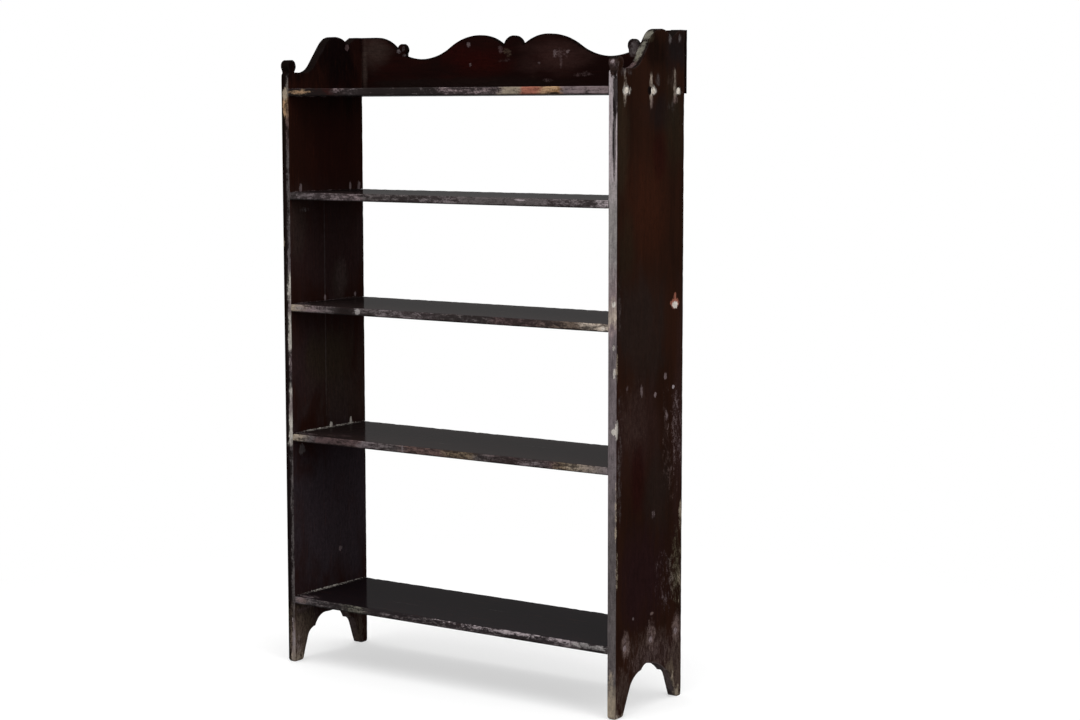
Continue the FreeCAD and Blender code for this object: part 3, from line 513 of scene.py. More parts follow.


# The right end board: brown and clouded outside, its front edge rubbed to pale mauve, with a painted highlight and
# painted shade at the front knob
rightEnd = {
    "ease": 0.0011, "rungs": (0, 0.012, 0.012), "nicks": 0.0011, "slot": "painted_board",
    "hidden": panelEdge(1),
    "dents": [((0.457, 0.0925, 0.868), (0.004, 0.018, 0.010), 0.0016)],
    "look": boardLook(
        grain=2, thinFrom=0.36, thinTo=0.66, cloud=0.35,
        paint=(0.0240, 0.0100, 0.0062), under=(0.0420, 0.0155, 0.0090),
        clouds=[
            ("redBrown", (0.457, -0.020, 1.080), (0.05, 0.10, 0.15), 0.70),
            ("greyOlive", (0.457, -0.120, 1.220), (0.05, 0.032, 0.15), 0.36),
            ("coolBlack", (0.457, 0.040, 1.275), (0.05, 0.10, 0.045), 0.50),
            ("maroon", (0.457, 0.030, 1.190), (0.05, 0.035, 0.06), 0.60),
            ("oliveBrown", (0.457, -0.100, 1.000), (0.05, 0.05, 0.10), 0.5),
            ("greyBrown", (0.457, -0.040, 0.830), (0.05, 0.13, 0.15), 0.7),
            ("oliveBrown", (0.457, 0.090, 1.250), (0.05, 0.05, 0.12), 0.6),
            ("coolBlack", (0.457, 0.100, 1.410), (0.05, 0.05, 0.06), 0.8),
            ("blackPaint", (0.457, 0.005, 1.405), (0.05, 0.050, 0.045), 0.6),
            ("mauveDusk", (0.457, -0.060, 0.600), (0.05, 0.12, 0.13), 0.8),
            ("maroon", (0.457, -0.055, 0.510), (0.05, 0.04, 0.09), 0.8),
            ("greyBrown", (0.457, 0.030, 0.470), (0.05, 0.06, 0.12), 0.6),
            ("mauveDusk", (0.457, 0.110, 0.620), (0.05, 0.03, 0.30), 0.7),
            ("purpleDusk", (0.457, -0.030, 0.290), (0.05, 0.13, 0.13), 0.85),
            ("mauveDusk", (0.457, 0.040, 0.110), (0.05, 0.13, 0.06), 0.85),
        ],
        rimDust=0.55, rimBare=0.35, rimFade=(1.00, 0.70, 0.15, 1.0), edgeRange=(0.0, 1.46), haze=0.66,
        sawn=0.92, level=0.55, edgeLevel=0.96,
        edge=[(0.000, "beige", 0.85), (0.030, "beige", 0.80), (0.070, "greyScuff", 0.80),
              (0.150, "greyScuff", 0.78), (0.360, "greyScuff", 0.85), (0.520, "greyMauve", 0.80),
              (0.600, "greyMauve", 0.76), (0.760, "greyMauve", 0.76), (0.800, "greyMauve", 0.80),
              (0.825, "mauve", 0.84), (0.845, "pinkBeige", 0.74), (0.900, "mauve", 0.84),
              (0.990, "edgeGrey", 0.84), (1.080, "edgeGrey", 0.84), (1.150, "edgeMauve", 0.78),
              (1.230, "edgeMauve", 0.74), (1.310, "edgeMauve", 0.82), (1.352, "edgeMauve", 0.84),
              # painted shade: the stops from 1.360 to 1.373 darken the neck under the right knob
              (1.360, "blackPaint", 0.30), (1.373, "blackPaint", 0.20), (1.390, "greyScuff", 0.10)],
        patches=[
            # painted highlight: a pale mauve spot on the front of the right knob, where its curve catches the light
            ("mauve", (0.4455, -0.137, 1.382), (0.008, 0.006, 0.008), 0.95, 0.62, 2.2),
            ("paleMauve", (0.4460, -0.137, 1.383), (0.005, 0.006, 0.004), 0.80, 0.72, 2.2),
            ("coolBlack", (0.4475, -0.137, 1.222), (0.0026, 0.008, 0.050), 0.9, 0.72),
            ("coolBlack", (0.4420, -0.137, 1.285), (0.0020, 0.008, 0.040), 0.8, 0.64),
            ("blackPaint", (0.4505, -0.137, 1.220), (0.0046, 0.006, 0.120), 0.8, 0.74),
            ("blackPaint", (0.4520, -0.137, 1.315), (0.0062, 0.006, 0.056), 0.9, 0.84),
            ("chalk", (0.450, -0.137, 0.883), (0.006, 0.006, 0.008), 0.9, 0.8),
            ("chalk", (0.451, -0.137, 0.793), (0.005, 0.006, 0.009), 0.6, 0.7),
            ("chalk", (0.452, -0.137, 0.738), (0.004, 0.006, 0.014), 0.7, 0.66),
            ("chalk", (0.450, -0.137, 0.615), (0.006, 0.006, 0.008), 0.8, 0.75),
            ("beige", (0.456, -0.137, 0.440), (0.003, 0.006, 0.100), 0.8, 0.55),
            ("mauveBrown", (0.4440, -0.074, 1.380), (0.0105, 0.034, 0.030), 0.80, 0.74, 2.0),
            ("mossGrey", (0.4445, -0.038, 1.415), (0.0105, 0.030, 0.034), 0.90, 0.86, 1.6),
            ("mossGrey", (0.4455, -0.010, 1.442), (0.0110, 0.030, 0.014), 0.90, 0.86, 1.6),
            ("oliveGrey", (0.4450, -0.050, 1.402), (0.0060, 0.046, 0.042), 0.45, 0.50, 1.6),
            ("greyOlive", (0.457, -0.018, 1.436), (0.006, 0.024, 0.014), 0.60, 0.66, 3.0),
            ("mauveBrown", (0.4440, -0.137, 1.376), (0.0140, 0.006, 0.016), 0.7, 0.60, 3.0),
            ("greyScuff", (0.4480, -0.110, 1.372), (0.0110, 0.020, 0.010), 0.6, 0.60, 1.6),
            ("greyScuff", (0.4570, -0.104, 1.362), (0.0060, 0.034, 0.013), 0.55, 0.52, 1.6),
            ("mauve", (0.4525, -0.131, 1.378), (0.0100, 0.012, 0.012), 0.55, 0.50, 1.6),
        ] + onFace(0, 0.457, 0.006, [
            ("beige", -0.057, 1.385, 0.007, 0.006, 0.9, 0.8),
            ("salmon", 0.0925, 0.869, 0.022, 0.013, 0.9, 0.80),
            ("salmon", 0.093, 0.886, 0.008, 0.010, 0.8, 0.62),
            ("chalk", 0.0945, 0.866, 0.014, 0.009, 1.0, 0.80),
            ("mauve", -0.040, 0.692, 0.007, 0.020, 0.5, 0.62),
            ("mauve", -0.095, 0.705, 0.006, 0.014, 0.45, 0.62),
            ("mauve", 0.056, 0.716, 0.007, 0.010, 0.6, 0.7),
            ("paleMauve", 0.089, 0.689, 0.006, 0.005, 0.7, 0.8),
            ("mauve", 0.016, 0.679, 0.006, 0.006, 0.7, 0.8),
            ("mauve", 0.066, 0.630, 0.014, 0.018, 0.5, 0.55),
            ("mauve", 0.010, 0.420, 0.010, 0.014, 0.5, 0.6),
            ("chalk", -0.134, 0.620, 0.006, 0.030, 0.8, 0.62),
            ("beige", -0.134, 0.760, 0.006, 0.060, 0.6, 0.5),
            ("beige", -0.133, 0.320, 0.006, 0.060, 0.7, 0.6),
            ("mauve", 0.100, 0.590, 0.050, 0.180, 0.50, 0.42),
            ("roseGrey", 0.080, 0.560, 0.060, 0.200, 0.40, 0.40, 1.5),
            ("footBrown", -0.070, 0.640, 0.080, 0.100, 0.30, 0.50, 3.0),
            ("greyScuff", -0.125, 0.560, 0.016, 0.240, 0.55, 0.46, 1.5),
            ("greyScuff", -0.126, 0.880, 0.012, 0.120, 0.35, 0.44, 1.5),
            ("beige", 0.122, 0.400, 0.014, 0.050, 0.7, 0.55),
            ("oliveGrey", 0.106, 0.290, 0.048, 0.140, 0.65, 0.46, 1.4),
            ("beige", 0.122, 0.270, 0.020, 0.140, 0.60, 0.43),
            ("mauve", 0.060, 0.270, 0.090, 0.120, 0.35, 0.38),
            ("footBrown", 0.000, 0.120, 0.150, 0.075, 0.75, 0.56, 2.0),
            ("mauveBrown", 0.000, 0.110, 0.140, 0.050, 0.5, 0.50),
            ("roseGrey", -0.098, 0.152, 0.022, 0.038, 0.85, 0.66, 2.2),
            ("roseGrey", 0.004, 0.158, 0.021, 0.042, 0.90, 0.68, 2.2),
            ("mauveBrown", 0.004, 0.150, 0.008, 0.020, 0.8, 0.62, 2.0),
            ("roseGrey", 0.106, 0.156, 0.022, 0.040, 0.9, 0.70, 2.2),
            ("roseGrey", 0.006, 0.205, 0.009, 0.004, 0.7, 0.80, 2.0),
            ("mauve", -0.100, 0.166, 0.006, 0.014, 0.5, 0.60, 2.2),
            ("mauve", 0.000, 0.168, 0.006, 0.018, 0.5, 0.60, 2.2),
            ("mauve", -0.068, 0.207, 0.005, 0.005, 0.7, 0.8),
            ("pinkBeige", -0.106, 1.325, 0.0085, 0.042, 0.60, 0.64, 2.2),
            ("pinkBeige", -0.006, 1.330, 0.0085, 0.046, 0.75, 0.64, 2.2),
            ("pinkBeige", 0.089, 1.338, 0.0085, 0.040, 0.60, 0.62, 2.2),
            ("roseGrey", 0.090, 1.306, 0.014, 0.012, 0.7, 0.60, 2.0),
            ("roseGrey", -0.004, 1.300, 0.009, 0.020, 0.7, 0.60, 2.0),
            ("chalk", -0.102, 1.3250, 0.019, 0.014, 0.95, 0.62, 2.2),
            ("chalk", 0.003, 1.3240, 0.017, 0.013, 0.95, 0.60, 2.2),
            ("chalk", 0.104, 1.3240, 0.017, 0.013, 0.95, 0.60, 2.2),
            ("blackPaint", -0.012, 1.3250, 0.008, 0.009, 1.0, 0.95),
            ("greyScuff", 0.020, 1.348, 0.012, 0.020, 0.5, 0.56, 2.0),
            ("footBrown", 0.080, 1.350, 0.030, 0.030, 0.5, 0.52, 2.0),
            ("greyScuff", 0.068, 1.434, 0.008, 0.014, 0.8, 0.62, 2.0),
            ("greyScuff", 0.108, 1.436, 0.008, 0.014, 0.8, 0.62, 2.0),
            ("greyScuff", 0.075, 1.290, 0.020, 0.020, 0.4, 0.52, 2.0),
        ]) + [
            ("footBrown", (0.457, -0.110, 0.050), (0.010, 0.044, 0.090), 0.60, 0.62, 2.0),
            ("worn", (0.457, -0.130, 0.030), (0.010, 0.014, 0.060), 0.60, 0.54, 1.6),
            ("beige", (0.446, -0.137, 0.050), (0.012, 0.005, 0.075), 0.75, 0.62, 1.6),
            ("beige", (0.457, -0.112, 0.002), (0.012, 0.030, 0.012), 0.70, 0.60, 1.6),
            ("footBrown", (0.457, 0.100, 0.050), (0.010, 0.050, 0.100), 0.90, 0.74, 2.0),
            ("worn", (0.457, 0.075, 0.045), (0.010, 0.030, 0.060), 0.60, 0.52, 1.6),
            ("umber", (0.457, 0.080, 0.050), (0.010, 0.040, 0.060), 0.8, 0.56, 1.6),
            ("beige", (0.457, 0.100, 0.010), (0.012, 0.030, 0.022), 0.8, 0.60, 1.6),
            ("beige", (0.455, 0.092, 0.030), (0.008, 0.010, 0.040), 0.8, 0.62, 1.6),
            ("pinkBeige", (0.457, -0.125, 0.002), (0.012, 0.020, 0.012), 0.8, 0.62, 1.6),
            ("roseGrey", (0.4450, 0.086, 0.040), (0.014, 0.024, 0.052), 0.80, 0.60, 1.6),
        ]),
}
rightEnd["finish"] = boardPaint("right_end_paint", rightEnd["look"])
wornBoard("right_end_panel", "right_end_board", rightEnd)

# The left end board: near black inside with a maroon cast, flecked front edge, rubbed joints, greyer lower bays
# partly from a painted reflection
leftEnd = {
    "ease": 0.0011, "rungs": (0, 0.012, 0.012), "nicks": 0.0011, "slot": "painted_board",
    "hidden": panelEdge(-1), "dents": [],
    "look": boardLook(
        grain=2, thinFrom=0.40, thinTo=0.70, cloud=0.35,
        paint=(0.0160, 0.0054, 0.0036), under=(0.0230, 0.0070, 0.0046),
        clouds=[
            ("maroon", (-0.436, 0.030, 1.200), (0.05, 0.12, 0.14), 0.25),
            ("nightRed", (-0.436, 0.000, 1.440), (0.05, 0.50, 0.17), 1.0),
            ("dimMauve", (-0.436, 0.000, 0.960), (0.05, 0.24, 0.17), 0.60),
            ("greyBrown", (-0.436, -0.110, 1.030), (0.05, 0.05, 0.10), 0.6),
            ("greyBrown", (-0.436, 0.040, 0.890), (0.05, 0.035, 0.07), 0.8),
            ("dimMauve", (-0.436, -0.060, 0.700), (0.05, 0.20, 0.16), 0.80),
            ("oliveBrown", (-0.436, 0.000, 0.700), (0.05, 0.11, 0.10), 0.65),
            ("greyBrown", (-0.436, 0.050, 0.600), (0.05, 0.16, 0.08), 0.7),
            # greyer over the lower bays: the paint's own grey-brown, and partly a painted reflection of the pale
            # floor seen through the open back
            ("duskGrey", (-0.436, 0.000, 0.330), (0.05, 0.34, 0.26), 1.0),
            ("duskGrey", (-0.436, 0.060, 0.480), (0.05, 0.10, 0.05), 0.7),
            ("mauveBrown", (-0.436, -0.060, 0.070), (0.05, 0.20, 0.06), 0.5),
        ],
        rimDust=0.30, rimBare=0.20, rimFade=(1.30, 1.10, 0.1, 1.0), sawn=0.92, frontPaint=0.85, edgeLevel=0.75,
        edgeRange=(0.0, 1.46), edgeSide=(-0.4515, -0.4395, 0.10), haze=0.22,
        edge=[(0.000, "beige", 0.90), (0.040, "paleMauve", 0.75), (0.080, "mauve", 0.70),
              (0.110, "greyScuff", 0.55), (0.200, "greyScuff", 0.55), (0.520, "greyScuff", 0.55),
              (0.545, "chalk", 0.86), (0.575, "chalk", 0.86), (0.600, "mauve", 0.78), (0.632, "chalk", 0.84),
              (0.650, "greyScuff", 0.50), (0.700, "mauve", 0.55), (0.745, "chalk", 0.72),
              (0.805, "chalk", 0.72), (0.830, "mauve", 0.66), (0.885, "chalk", 0.66),
              (0.920, "greyMauve", 0.62), (1.080, "greyScuff", 0.55), (1.190, "greyScuff", 0.55),
              (1.225, "mauveBrown", 0.60), (1.270, "roseBrown", 0.60), (1.300, "tan", 0.52),
              (1.320, "beige", 0.55), (1.352, "greyScuff", 0.50), (1.362, "blackPaint", 0.15)],
        patches=onFace(0, -0.436, 0.006, [
            ("chalk", 0.000, 0.5418, 0.180, 0.0024, 0.9, 0.58),
            ("chalk", 0.000, 0.1588, 0.180, 0.0024, 0.9, 0.58),
            ("greyScuff", 0.060, 0.8428, 0.100, 0.0024, 0.8, 0.50),
        ]) + [
            ("beige", (-0.457, -0.137, 0.985), (0.008, 0.008, 0.020), 0.8, 0.7),
            ("tan", (-0.448, -0.137, 1.290), (0.0075, 0.008, 0.034), 0.8, 0.64),
            ("beige", (-0.446, -0.137, 1.320), (0.0080, 0.008, 0.018), 0.9, 0.70),
        ] + onFace(0, -0.436, 0.006, [
            ("greyScuff", -0.016, 0.82, 0.0020, 0.28, 0.30, 0.9),
            ("chalk", 0.0013, 0.546, 0.006, 0.008, 0.9, 0.95),
            ("chalk", 0.0735, 0.547, 0.004, 0.012, 0.9, 0.95),
            ("mauve", 0.080, 1.107, 0.004, 0.012, 0.9, 0.9),
            ("mauve", 0.112, 1.104, 0.006, 0.016, 0.7, 0.8),
            ("mauve", -0.098, 1.107, 0.006, 0.012, 0.7, 0.8),
            ("mauve", -0.016, 0.848, 0.004, 0.008, 0.8, 0.9),
            ("mauve", 0.094, 0.849, 0.004, 0.007, 0.8, 0.9),
            ("greyScuff", -0.105, 0.500, 0.014, 0.018, 0.7, 0.7),
            ("greyScuff", -0.085, 1.056, 0.020, 0.008, 0.7, 0.6),
            ("mauveBrown", 0.073, 1.430, 0.008, 0.008, 0.6, 0.9),
            ("mauve", 0.030, 0.245, 0.008, 0.007, 0.5, 0.8),
        ]) + [
            ("umber", (-0.440, -0.105, 0.070), (0.020, 0.050, 0.100), 0.85, 0.74, 2.4),
            ("worn", (-0.440, -0.118, 0.050), (0.020, 0.034, 0.080), 0.85, 0.62, 2.0),
            ("mauve", (-0.440, -0.124, 0.030), (0.020, 0.020, 0.050), 0.5, 0.54, 1.6),
            ("paleMauve", (-0.4425, -0.1370, 0.080), (0.0036, 0.006, 0.050), 0.8, 0.54, 1.3),
            ("beige", (-0.440, -0.120, 0.008), (0.024, 0.028, 0.028), 0.75, 0.62, 2.2),
            ("roseGrey", (-0.440, 0.098, 0.008), (0.024, 0.026, 0.020), 0.6, 0.58, 2.2),
            ("mauve", (-0.436, -0.100, 0.122), (0.008, 0.040, 0.005), 0.5, 0.54, 1.6),
            ("worn", (-0.436, 0.052, 0.070), (0.008, 0.018, 0.030), 0.8, 0.66),
            ("footBrown", (-0.440, 0.095, 0.050), (0.020, 0.040, 0.080), 0.7, 0.64, 2.0),
            ("umber", (-0.440, 0.100, 0.030), (0.020, 0.030, 0.050), 0.6, 0.55, 1.6),
            ("mauveBrown", (-0.436, -0.105, 0.120), (0.010, 0.040, 0.012), 0.6, 0.6),
            ("mauveBrown", (-0.436, 0.045, 0.895), (0.006, 0.026, 0.055), 0.35, 0.62, 2.6),
        ] + onFace(0, -0.457, 0.006, [
            ("footBrown", 0.000, 0.110, 0.150, 0.070, 0.70, 0.54, 2.0),
            ("roseGrey", -0.099, 0.150, 0.020, 0.034, 0.75, 0.60, 2.2),
            ("roseGrey", 0.003, 0.156, 0.018, 0.038, 0.75, 0.62, 2.2),
            ("roseGrey", 0.104, 0.147, 0.022, 0.030, 0.75, 0.60, 2.2),
            ("pinkBeige", -0.103, 1.320, 0.0085, 0.038, 0.60, 0.62, 2.2),
            ("pinkBeige", 0.002, 1.331, 0.0085, 0.040, 0.65, 0.62, 2.2),
            ("pinkBeige", 0.101, 1.316, 0.0085, 0.036, 0.60, 0.62, 2.2),
            ("mauve", 0.098, 0.560, 0.050, 0.180, 0.50, 0.42),
            ("roseGrey", 0.060, 0.480, 0.060, 0.160, 0.40, 0.42, 1.5),
            ("oliveGrey", 0.108, 0.270, 0.044, 0.140, 0.65, 0.46),
            ("beige", 0.122, 0.310, 0.016, 0.160, 0.65, 0.47),
            ("greyScuff", -0.112, 0.620, 0.012, 0.300, 0.50, 0.46, 1.5),
            ("mauve", 0.038, 0.735, 0.014, 0.007, 0.60, 0.64),
            ("mauve", -0.072, 0.812, 0.007, 0.016, 0.55, 0.62),
            ("mauve", 0.012, 1.040, 0.006, 0.018, 0.50, 0.60),
            ("paleMauve", -0.030, 0.604, 0.006, 0.006, 0.70, 0.72),
            ("chalk", 0.094, 0.930, 0.010, 0.008, 0.80, 0.66),
        ])),
}
leftEnd["finish"] = boardPaint("left_end_paint", leftEnd["look"])
wornBoard("left_end_panel", "left_end_board", leftEnd)

# The crest board: dark maroon with a few rubs and scratches, and a painted sheen at its left end
crest = {
    "ease": 0.0009, "rungs": (0.012, 0, 0.012), "nicks": 0.0009, "slot": "painted_board",
    "hidden": crestEdge, "dents": [],
    "look": boardLook(
        grain=0, thinFrom=0.42, thinTo=0.70, cloud=0.5,
        paint=(0.0052, 0.0020, 0.0017), under=(0.0105, 0.0026, 0.0021),
        clouds=[
            ("crestRed", (-0.090, 0.127, 1.400), (0.12, 0.05, 0.045), 0.9),
            ("mauveDusk", (0.120, 0.127, 1.400), (0.12, 0.05, 0.05), 0.30),
            # painted sheen: a paler grey area at the crest's left end, with a narrow painted highlight streak
            # beside the end board
            ("greyBrown", (-0.400, 0.127, 1.425), (0.060, 0.05, 0.055), 0.50),
            ("greyBrown", (-0.427, 0.127, 1.390), (0.010, 0.05, 0.09), 0.8),
            # darker along the foot of the crest, where it meets the top shelf
            ("blackPaint", (-0.100, 0.127, 1.342), (0.40, 0.05, 0.020), 0.75),
        ],
        fibre=(0.012, 0.004, 0.003), dust=tones["sawnBlack"], rimDust=0.85, rimBare=0.0, sawn=0.9,
        coat=0.004, level=1.40,
        edge=[(0.0, "blackPaint", 0.0)], haze=0.0,
        patches=onFace(1, 0.127, 0.006, [
            ("mauveBrown", 0.134, 1.412, 0.034, 0.022, 0.55, 0.48),
            ("mauve", 0.155, 1.414, 0.007, 0.008, 0.40, 0.60),
            ("mauve", 0.120, 1.412, 0.007, 0.010, 0.35, 0.60),
            ("mauveBrown", 0.136, 1.395, 0.005, 0.030, 0.5, 0.60),
            ("mauve", -0.120, 1.433, 0.007, 0.008, 0.35, 0.66),
            ("mauve", -0.115, 1.387, 0.007, 0.006, 0.45, 0.66),
            ("mauve", 0.076, 1.389, 0.006, 0.006, 0.55, 0.66),
            ("mauveBrown", 0.102, 1.350, 0.022, 0.006, 0.5, 0.62),
            ("mauveBrown", -0.030, 1.420, 0.012, 0.014, 0.5, 0.56),
            ("umber", -0.012, 1.412, 0.018, 0.018, 0.35, 0.60),
            ("mauveBrown", -0.020, 1.397, 0.030, 0.007, 0.4, 0.56),
            ("mauveBrown", 0.195, 1.363, 0.050, 0.010, 0.4, 0.50),
            ("greyMauve", -0.324, 1.420, 0.009, 0.009, 0.6, 0.60),
            ("greyScuff", 0.330, 1.417, 0.018, 0.022, 0.66, 0.70, 2.8),
            ("greyMauve", -0.308, 1.411, 0.012, 0.006, 0.5, 0.55),
            ("greyScuff", -0.310, 1.426, 0.008, 0.008, 0.35, 0.60),
        ]) + onFace(1, 0.137, 0.005, [
            ("mauveBrown", -0.200, 1.372, 0.090, 0.012, 0.50, 0.50, 1.5),
            ("mauveBrown", 0.260, 1.400, 0.070, 0.020, 0.45, 0.48, 1.5),
            ("umber", 0.020, 1.325, 0.300, 0.010, 0.50, 0.48, 1.5),
            ("umber", -0.380, 1.410, 0.060, 0.020, 0.40, 0.48, 1.5),
        ])),
}
crest["finish"] = boardPaint("crest_paint", crest["look"])
wornBoard("crest_board", "crest_rail", crest)

# The shelves: satin tops, front edges rubbed to mauve, tan and chalk, and painted shade along the lower front rims
shelfWear = {
    "top_shelf": {
        "edgeLevel": 0.80, "frontPaint": 0.45,
        "edge": [(-0.436, "blackPaint", 0.2), (-0.310, "maroon", 0.5), (-0.250, "greyMauve", 0.35),
                 (-0.190, "greyScuff", 0.25), (-0.020, "greyScuff", 0.32), (0.010, "mauve", 0.48),
                 (0.150, "mauve", 0.42), (0.170, "beige", 0.60), (0.210, "beige", 0.62),
                 (0.222, "salmon", 0.62), (0.252, "salmon", 0.66), (0.270, "tan", 0.60),
                 (0.315, "ochre", 0.58), (0.330, "mauve", 0.60), (0.436, "mauve", 0.60)],
        "patches": onFace(1, -0.137, 0.006, [
            ("umber", -0.400, 1.3250, 0.046, 0.009, 0.8, 0.66),
            ("tan", -0.402, 1.3250, 0.044, 0.006, 0.70, 0.66, 1.5),
            ("mauve", -0.293, 1.3265, 0.015, 0.010, 0.9, 0.60),
            ("mauve", -0.265, 1.3285, 0.022, 0.006, 0.5, 0.50),
            ("tan", 0.288, 1.3290, 0.030, 0.006, 0.8, 0.72),
            ("blackPaint", 0.300, 1.3190, 0.016, 0.003, 0.9, 0.8),
        ])},
    "upper_shelf": {
        "edgeLevel": 0.92,
        "edge": [(-0.436, "greyScuff", 0.42), (-0.370, "greyMauve", 0.44), (-0.230, "mauve", 0.46),
                 (-0.210, "greyScuff", 0.42), (-0.060, "greyScuff", 0.40), (-0.040, "greyMauve", 0.48),
                 (0.040, "greyMauve", 0.48), (0.060, "greyScuff", 0.66), (0.250, "greyScuff", 0.66),
                 (0.290, "greyMauve", 0.42), (0.390, "greyMauve", 0.46), (0.436, "paleMauve", 0.55)],
        "coat": 0.089,
        "patches": [
            ("paleMauve", (0.212, -0.137, 1.094), (0.018, 0.006, 0.002), 0.7, 0.75),
            ("greyScuff", (-0.410, -0.122, 1.098), (0.034, 0.020, 0.004), 0.55, 0.50, 1.6),
            ("greyMauve", (-0.405, -0.137, 1.089), (0.030, 0.006, 0.007), 0.6, 0.52, 1.5),
        ]},
    "middle_shelf": {
        "coat": 0.076,
        "edge": [(-0.436, "beige", 0.58), (-0.380, "mauve", 0.56), (-0.310, "greyScuff", 0.44),
                 (-0.290, "blackPaint", 0.3), (-0.255, "blackPaint", 0.3), (-0.220, "greyScuff", 0.46),
                 (-0.140, "greyMauve", 0.48), (-0.040, "greyMauve", 0.46), (0.000, "greyScuff", 0.42),
                 (0.120, "greyScuff", 0.32), (0.150, "mauveBrown", 0.46), (0.240, "mauveBrown", 0.44),
                 (0.320, "worn", 0.48), (0.360, "worn", 0.52), (0.380, "pinkBeige", 0.48),
                 (0.436, "pinkBeige", 0.52)],
        "patches": onFace(1, -0.137, 0.006, [
            ("paleGrey", -0.238, 0.8320, 0.011, 0.008, 0.9, 0.62),
            ("chalk", 0.426, 0.832, 0.012, 0.009, 0.8, 0.56),
        ]) + [
            ("mauve", (-0.412, -0.122, 0.841), (0.034, 0.020, 0.004), 0.55, 0.50, 1.6),
            ("paleGrey", (-0.415, -0.137, 0.833), (0.024, 0.006, 0.007), 0.6, 0.56, 1.5),
        ] + onFace(2, 0.841, 0.004, [
            ("greyScuff", 0.060, -0.020, 0.060, 0.0016, 0.5, 0.62, 1.5),
            ("greyScuff", -0.150, 0.050, 0.045, 0.0014, 0.45, 0.60, 1.5),
        ])},
    "lower_shelf": {
        "edge": [(-0.436, "beige", 0.55), (-0.380, "greyScuff", 0.48), (-0.360, "mauveBrown", 0.60),
                 (-0.240, "mauveBrown", 0.55), (-0.215, "greyMauve", 0.50), (-0.130, "greyScuff", 0.46),
                 (-0.090, "roseBrown", 0.52), (-0.010, "roseBrown", 0.52), (0.020, "ochreDust", 0.46),
                 (0.080, "ochreDust", 0.44), (0.105, "greyScuff", 0.42), (0.190, "mauveBrown", 0.42),
                 (0.250, "greyMauve", 0.48), (0.300, "mauveBrown", 0.42), (0.315, "ochreDust", 0.52),
                 (0.345, "beige", 0.46), (0.436, "greyMauve", 0.62)],
        "patches": [
            ("greyMauve", (-0.112, -0.137, 0.533), (0.003, 0.006, 0.009), 0.8, 0.75),
            ("chalk", (-0.433, 0.000, 0.540), (0.0022, 0.180, 0.006), 0.9, 0.56),
            ("mauve", (-0.408, -0.120, 0.540), (0.040, 0.022, 0.004), 0.60, 0.50, 1.6),
            ("pinkBeige", (-0.418, -0.137, 0.533), (0.020, 0.006, 0.008), 0.60, 0.56, 1.5),
        ] + onFace(2, 0.540, 0.004, [
            ("mauveBrown", -0.330, -0.100, 0.070, 0.030, 0.45, 0.46, 2.0),
            ("greyScuff", 0.150, 0.020, 0.070, 0.0016, 0.45, 0.60, 1.5),
            ("greyScuff", -0.060, -0.060, 0.040, 0.0014, 0.5, 0.60, 1.5),
        ])},
    "bottom_shelf": {
        "edge": [(-0.436, "greyMauve", 0.50), (-0.380, "greyScuff", 0.48), (-0.320, "greyScuff", 0.40),
                 (-0.280, "mossGrey", 0.54), (-0.245, "mossGrey", 0.52), (-0.200, "greyMauve", 0.34),
                 (-0.010, "greyScuff", 0.36), (0.010, "greyMauve", 0.40), (0.200, "greyScuff", 0.38),
                 (0.300, "greyMauve", 0.42), (0.436, "greyScuff", 0.40)],
        "coat": 0.055, "paint": (0.0084, 0.0056, 0.0066), "under": (0.0110, 0.0072, 0.0088),
        "patches": onFace(1, -0.137, 0.006, [
            ("paleMauve", 0.215, 0.1540, 0.300, 0.008, 0.85, 0.54),
            ("paleGrey", 0.392, 0.1510, 0.060, 0.009, 0.90, 0.66),
        ]) + [
            ("chalk", (-0.433, 0.000, 0.157), (0.0022, 0.180, 0.006), 0.9, 0.56),
            ("mauve", (-0.404, -0.118, 0.157), (0.044, 0.022, 0.004), 0.60, 0.50, 1.6),
        ] + onFace(1, -0.137, 0.006, [
            ("roseGrey", -0.415, 0.150, 0.028, 0.009, 0.75, 0.60, 1.5),
            ("mauve", -0.420, 0.153, 0.014, 0.006, 0.70, 0.60, 1.5),
        ]) + onFace(2, 0.157, 0.004, [
            ("greyMauve", -0.395, -0.126, 0.020, 0.008, 0.70, 0.56, 1.5),
            ("greyScuff", 0.050, 0.010, 0.070, 0.0016, 0.45, 0.60, 1.5),
            ("greyScuff", -0.180, -0.050, 0.050, 0.0014, 0.45, 0.60, 1.5),
        ])},
}
for node, wear in shelfWear.items():
    shelf = {
        "ease": 0.0012, "rungs": (0.010, 0.020, 0), "nicks": 0.0014, "slot": "shelf_board",
        "hidden": shelfEdge, "dents": [],
        "look": boardLook(**{
            "grain": 0, "thinFrom": 0.5, "thinTo": 0.8, "cloud": 0.3,
            "paint": (0.0150, 0.0100, 0.0096), "under": (0.0190, 0.0122, 0.0118),
            "rimReach": 0.0042, "rimDust": 0.5, "rimBare": 0.45, "bump": 0.10, "haze": 0.35,
            "coat": 0.076, "coatRough": 0.12, "lowRim": shelfRows[node[:-6]][0], **wear}),
    }
    shelf["finish"] = boardPaint(node + "_paint", shelf["look"])
    wornBoard(node, node.replace("_shelf", "_shelf_board"), shelf)


# Plugs, screws and nails keep their CAD shapes
def plugWood():
    m = Finish("plug_wood")
    place = m.add("ShaderNodeTexCoord", {}, {}, "Object")
    x, y, z = m.split(place)
    rings = m.noise(m.stretch(place, (1.0, 1.0, 0.3)), 320.0, 4.0, 0.6)
    grime = m.noise(place, 110.0, 3.0, 0.6)
    low = m.smooth(z, 0.8, 0.6)
    fresh = m.mix(m.smooth(rings, 0.30, 0.60), tones["beige"], tones["cream"])
    dull = m.mix(m.smooth(rings, 0.4, 0.6), tones["mauveBrown"], tones["mauve"])
    colour = m.mix(low, fresh, dull)
    colour = m.mix(m.smooth(grime, 0.52, 0.68) * 0.8, colour, tones["deepBrown"])
    bump = m.add("ShaderNodeBump", {}, {"Strength": 0.5, "Distance": 0.0005, "Height": rings}, "Normal")
    return m.surface(colour, 0.6 + grime * 0.2, bump, specular=0.3)


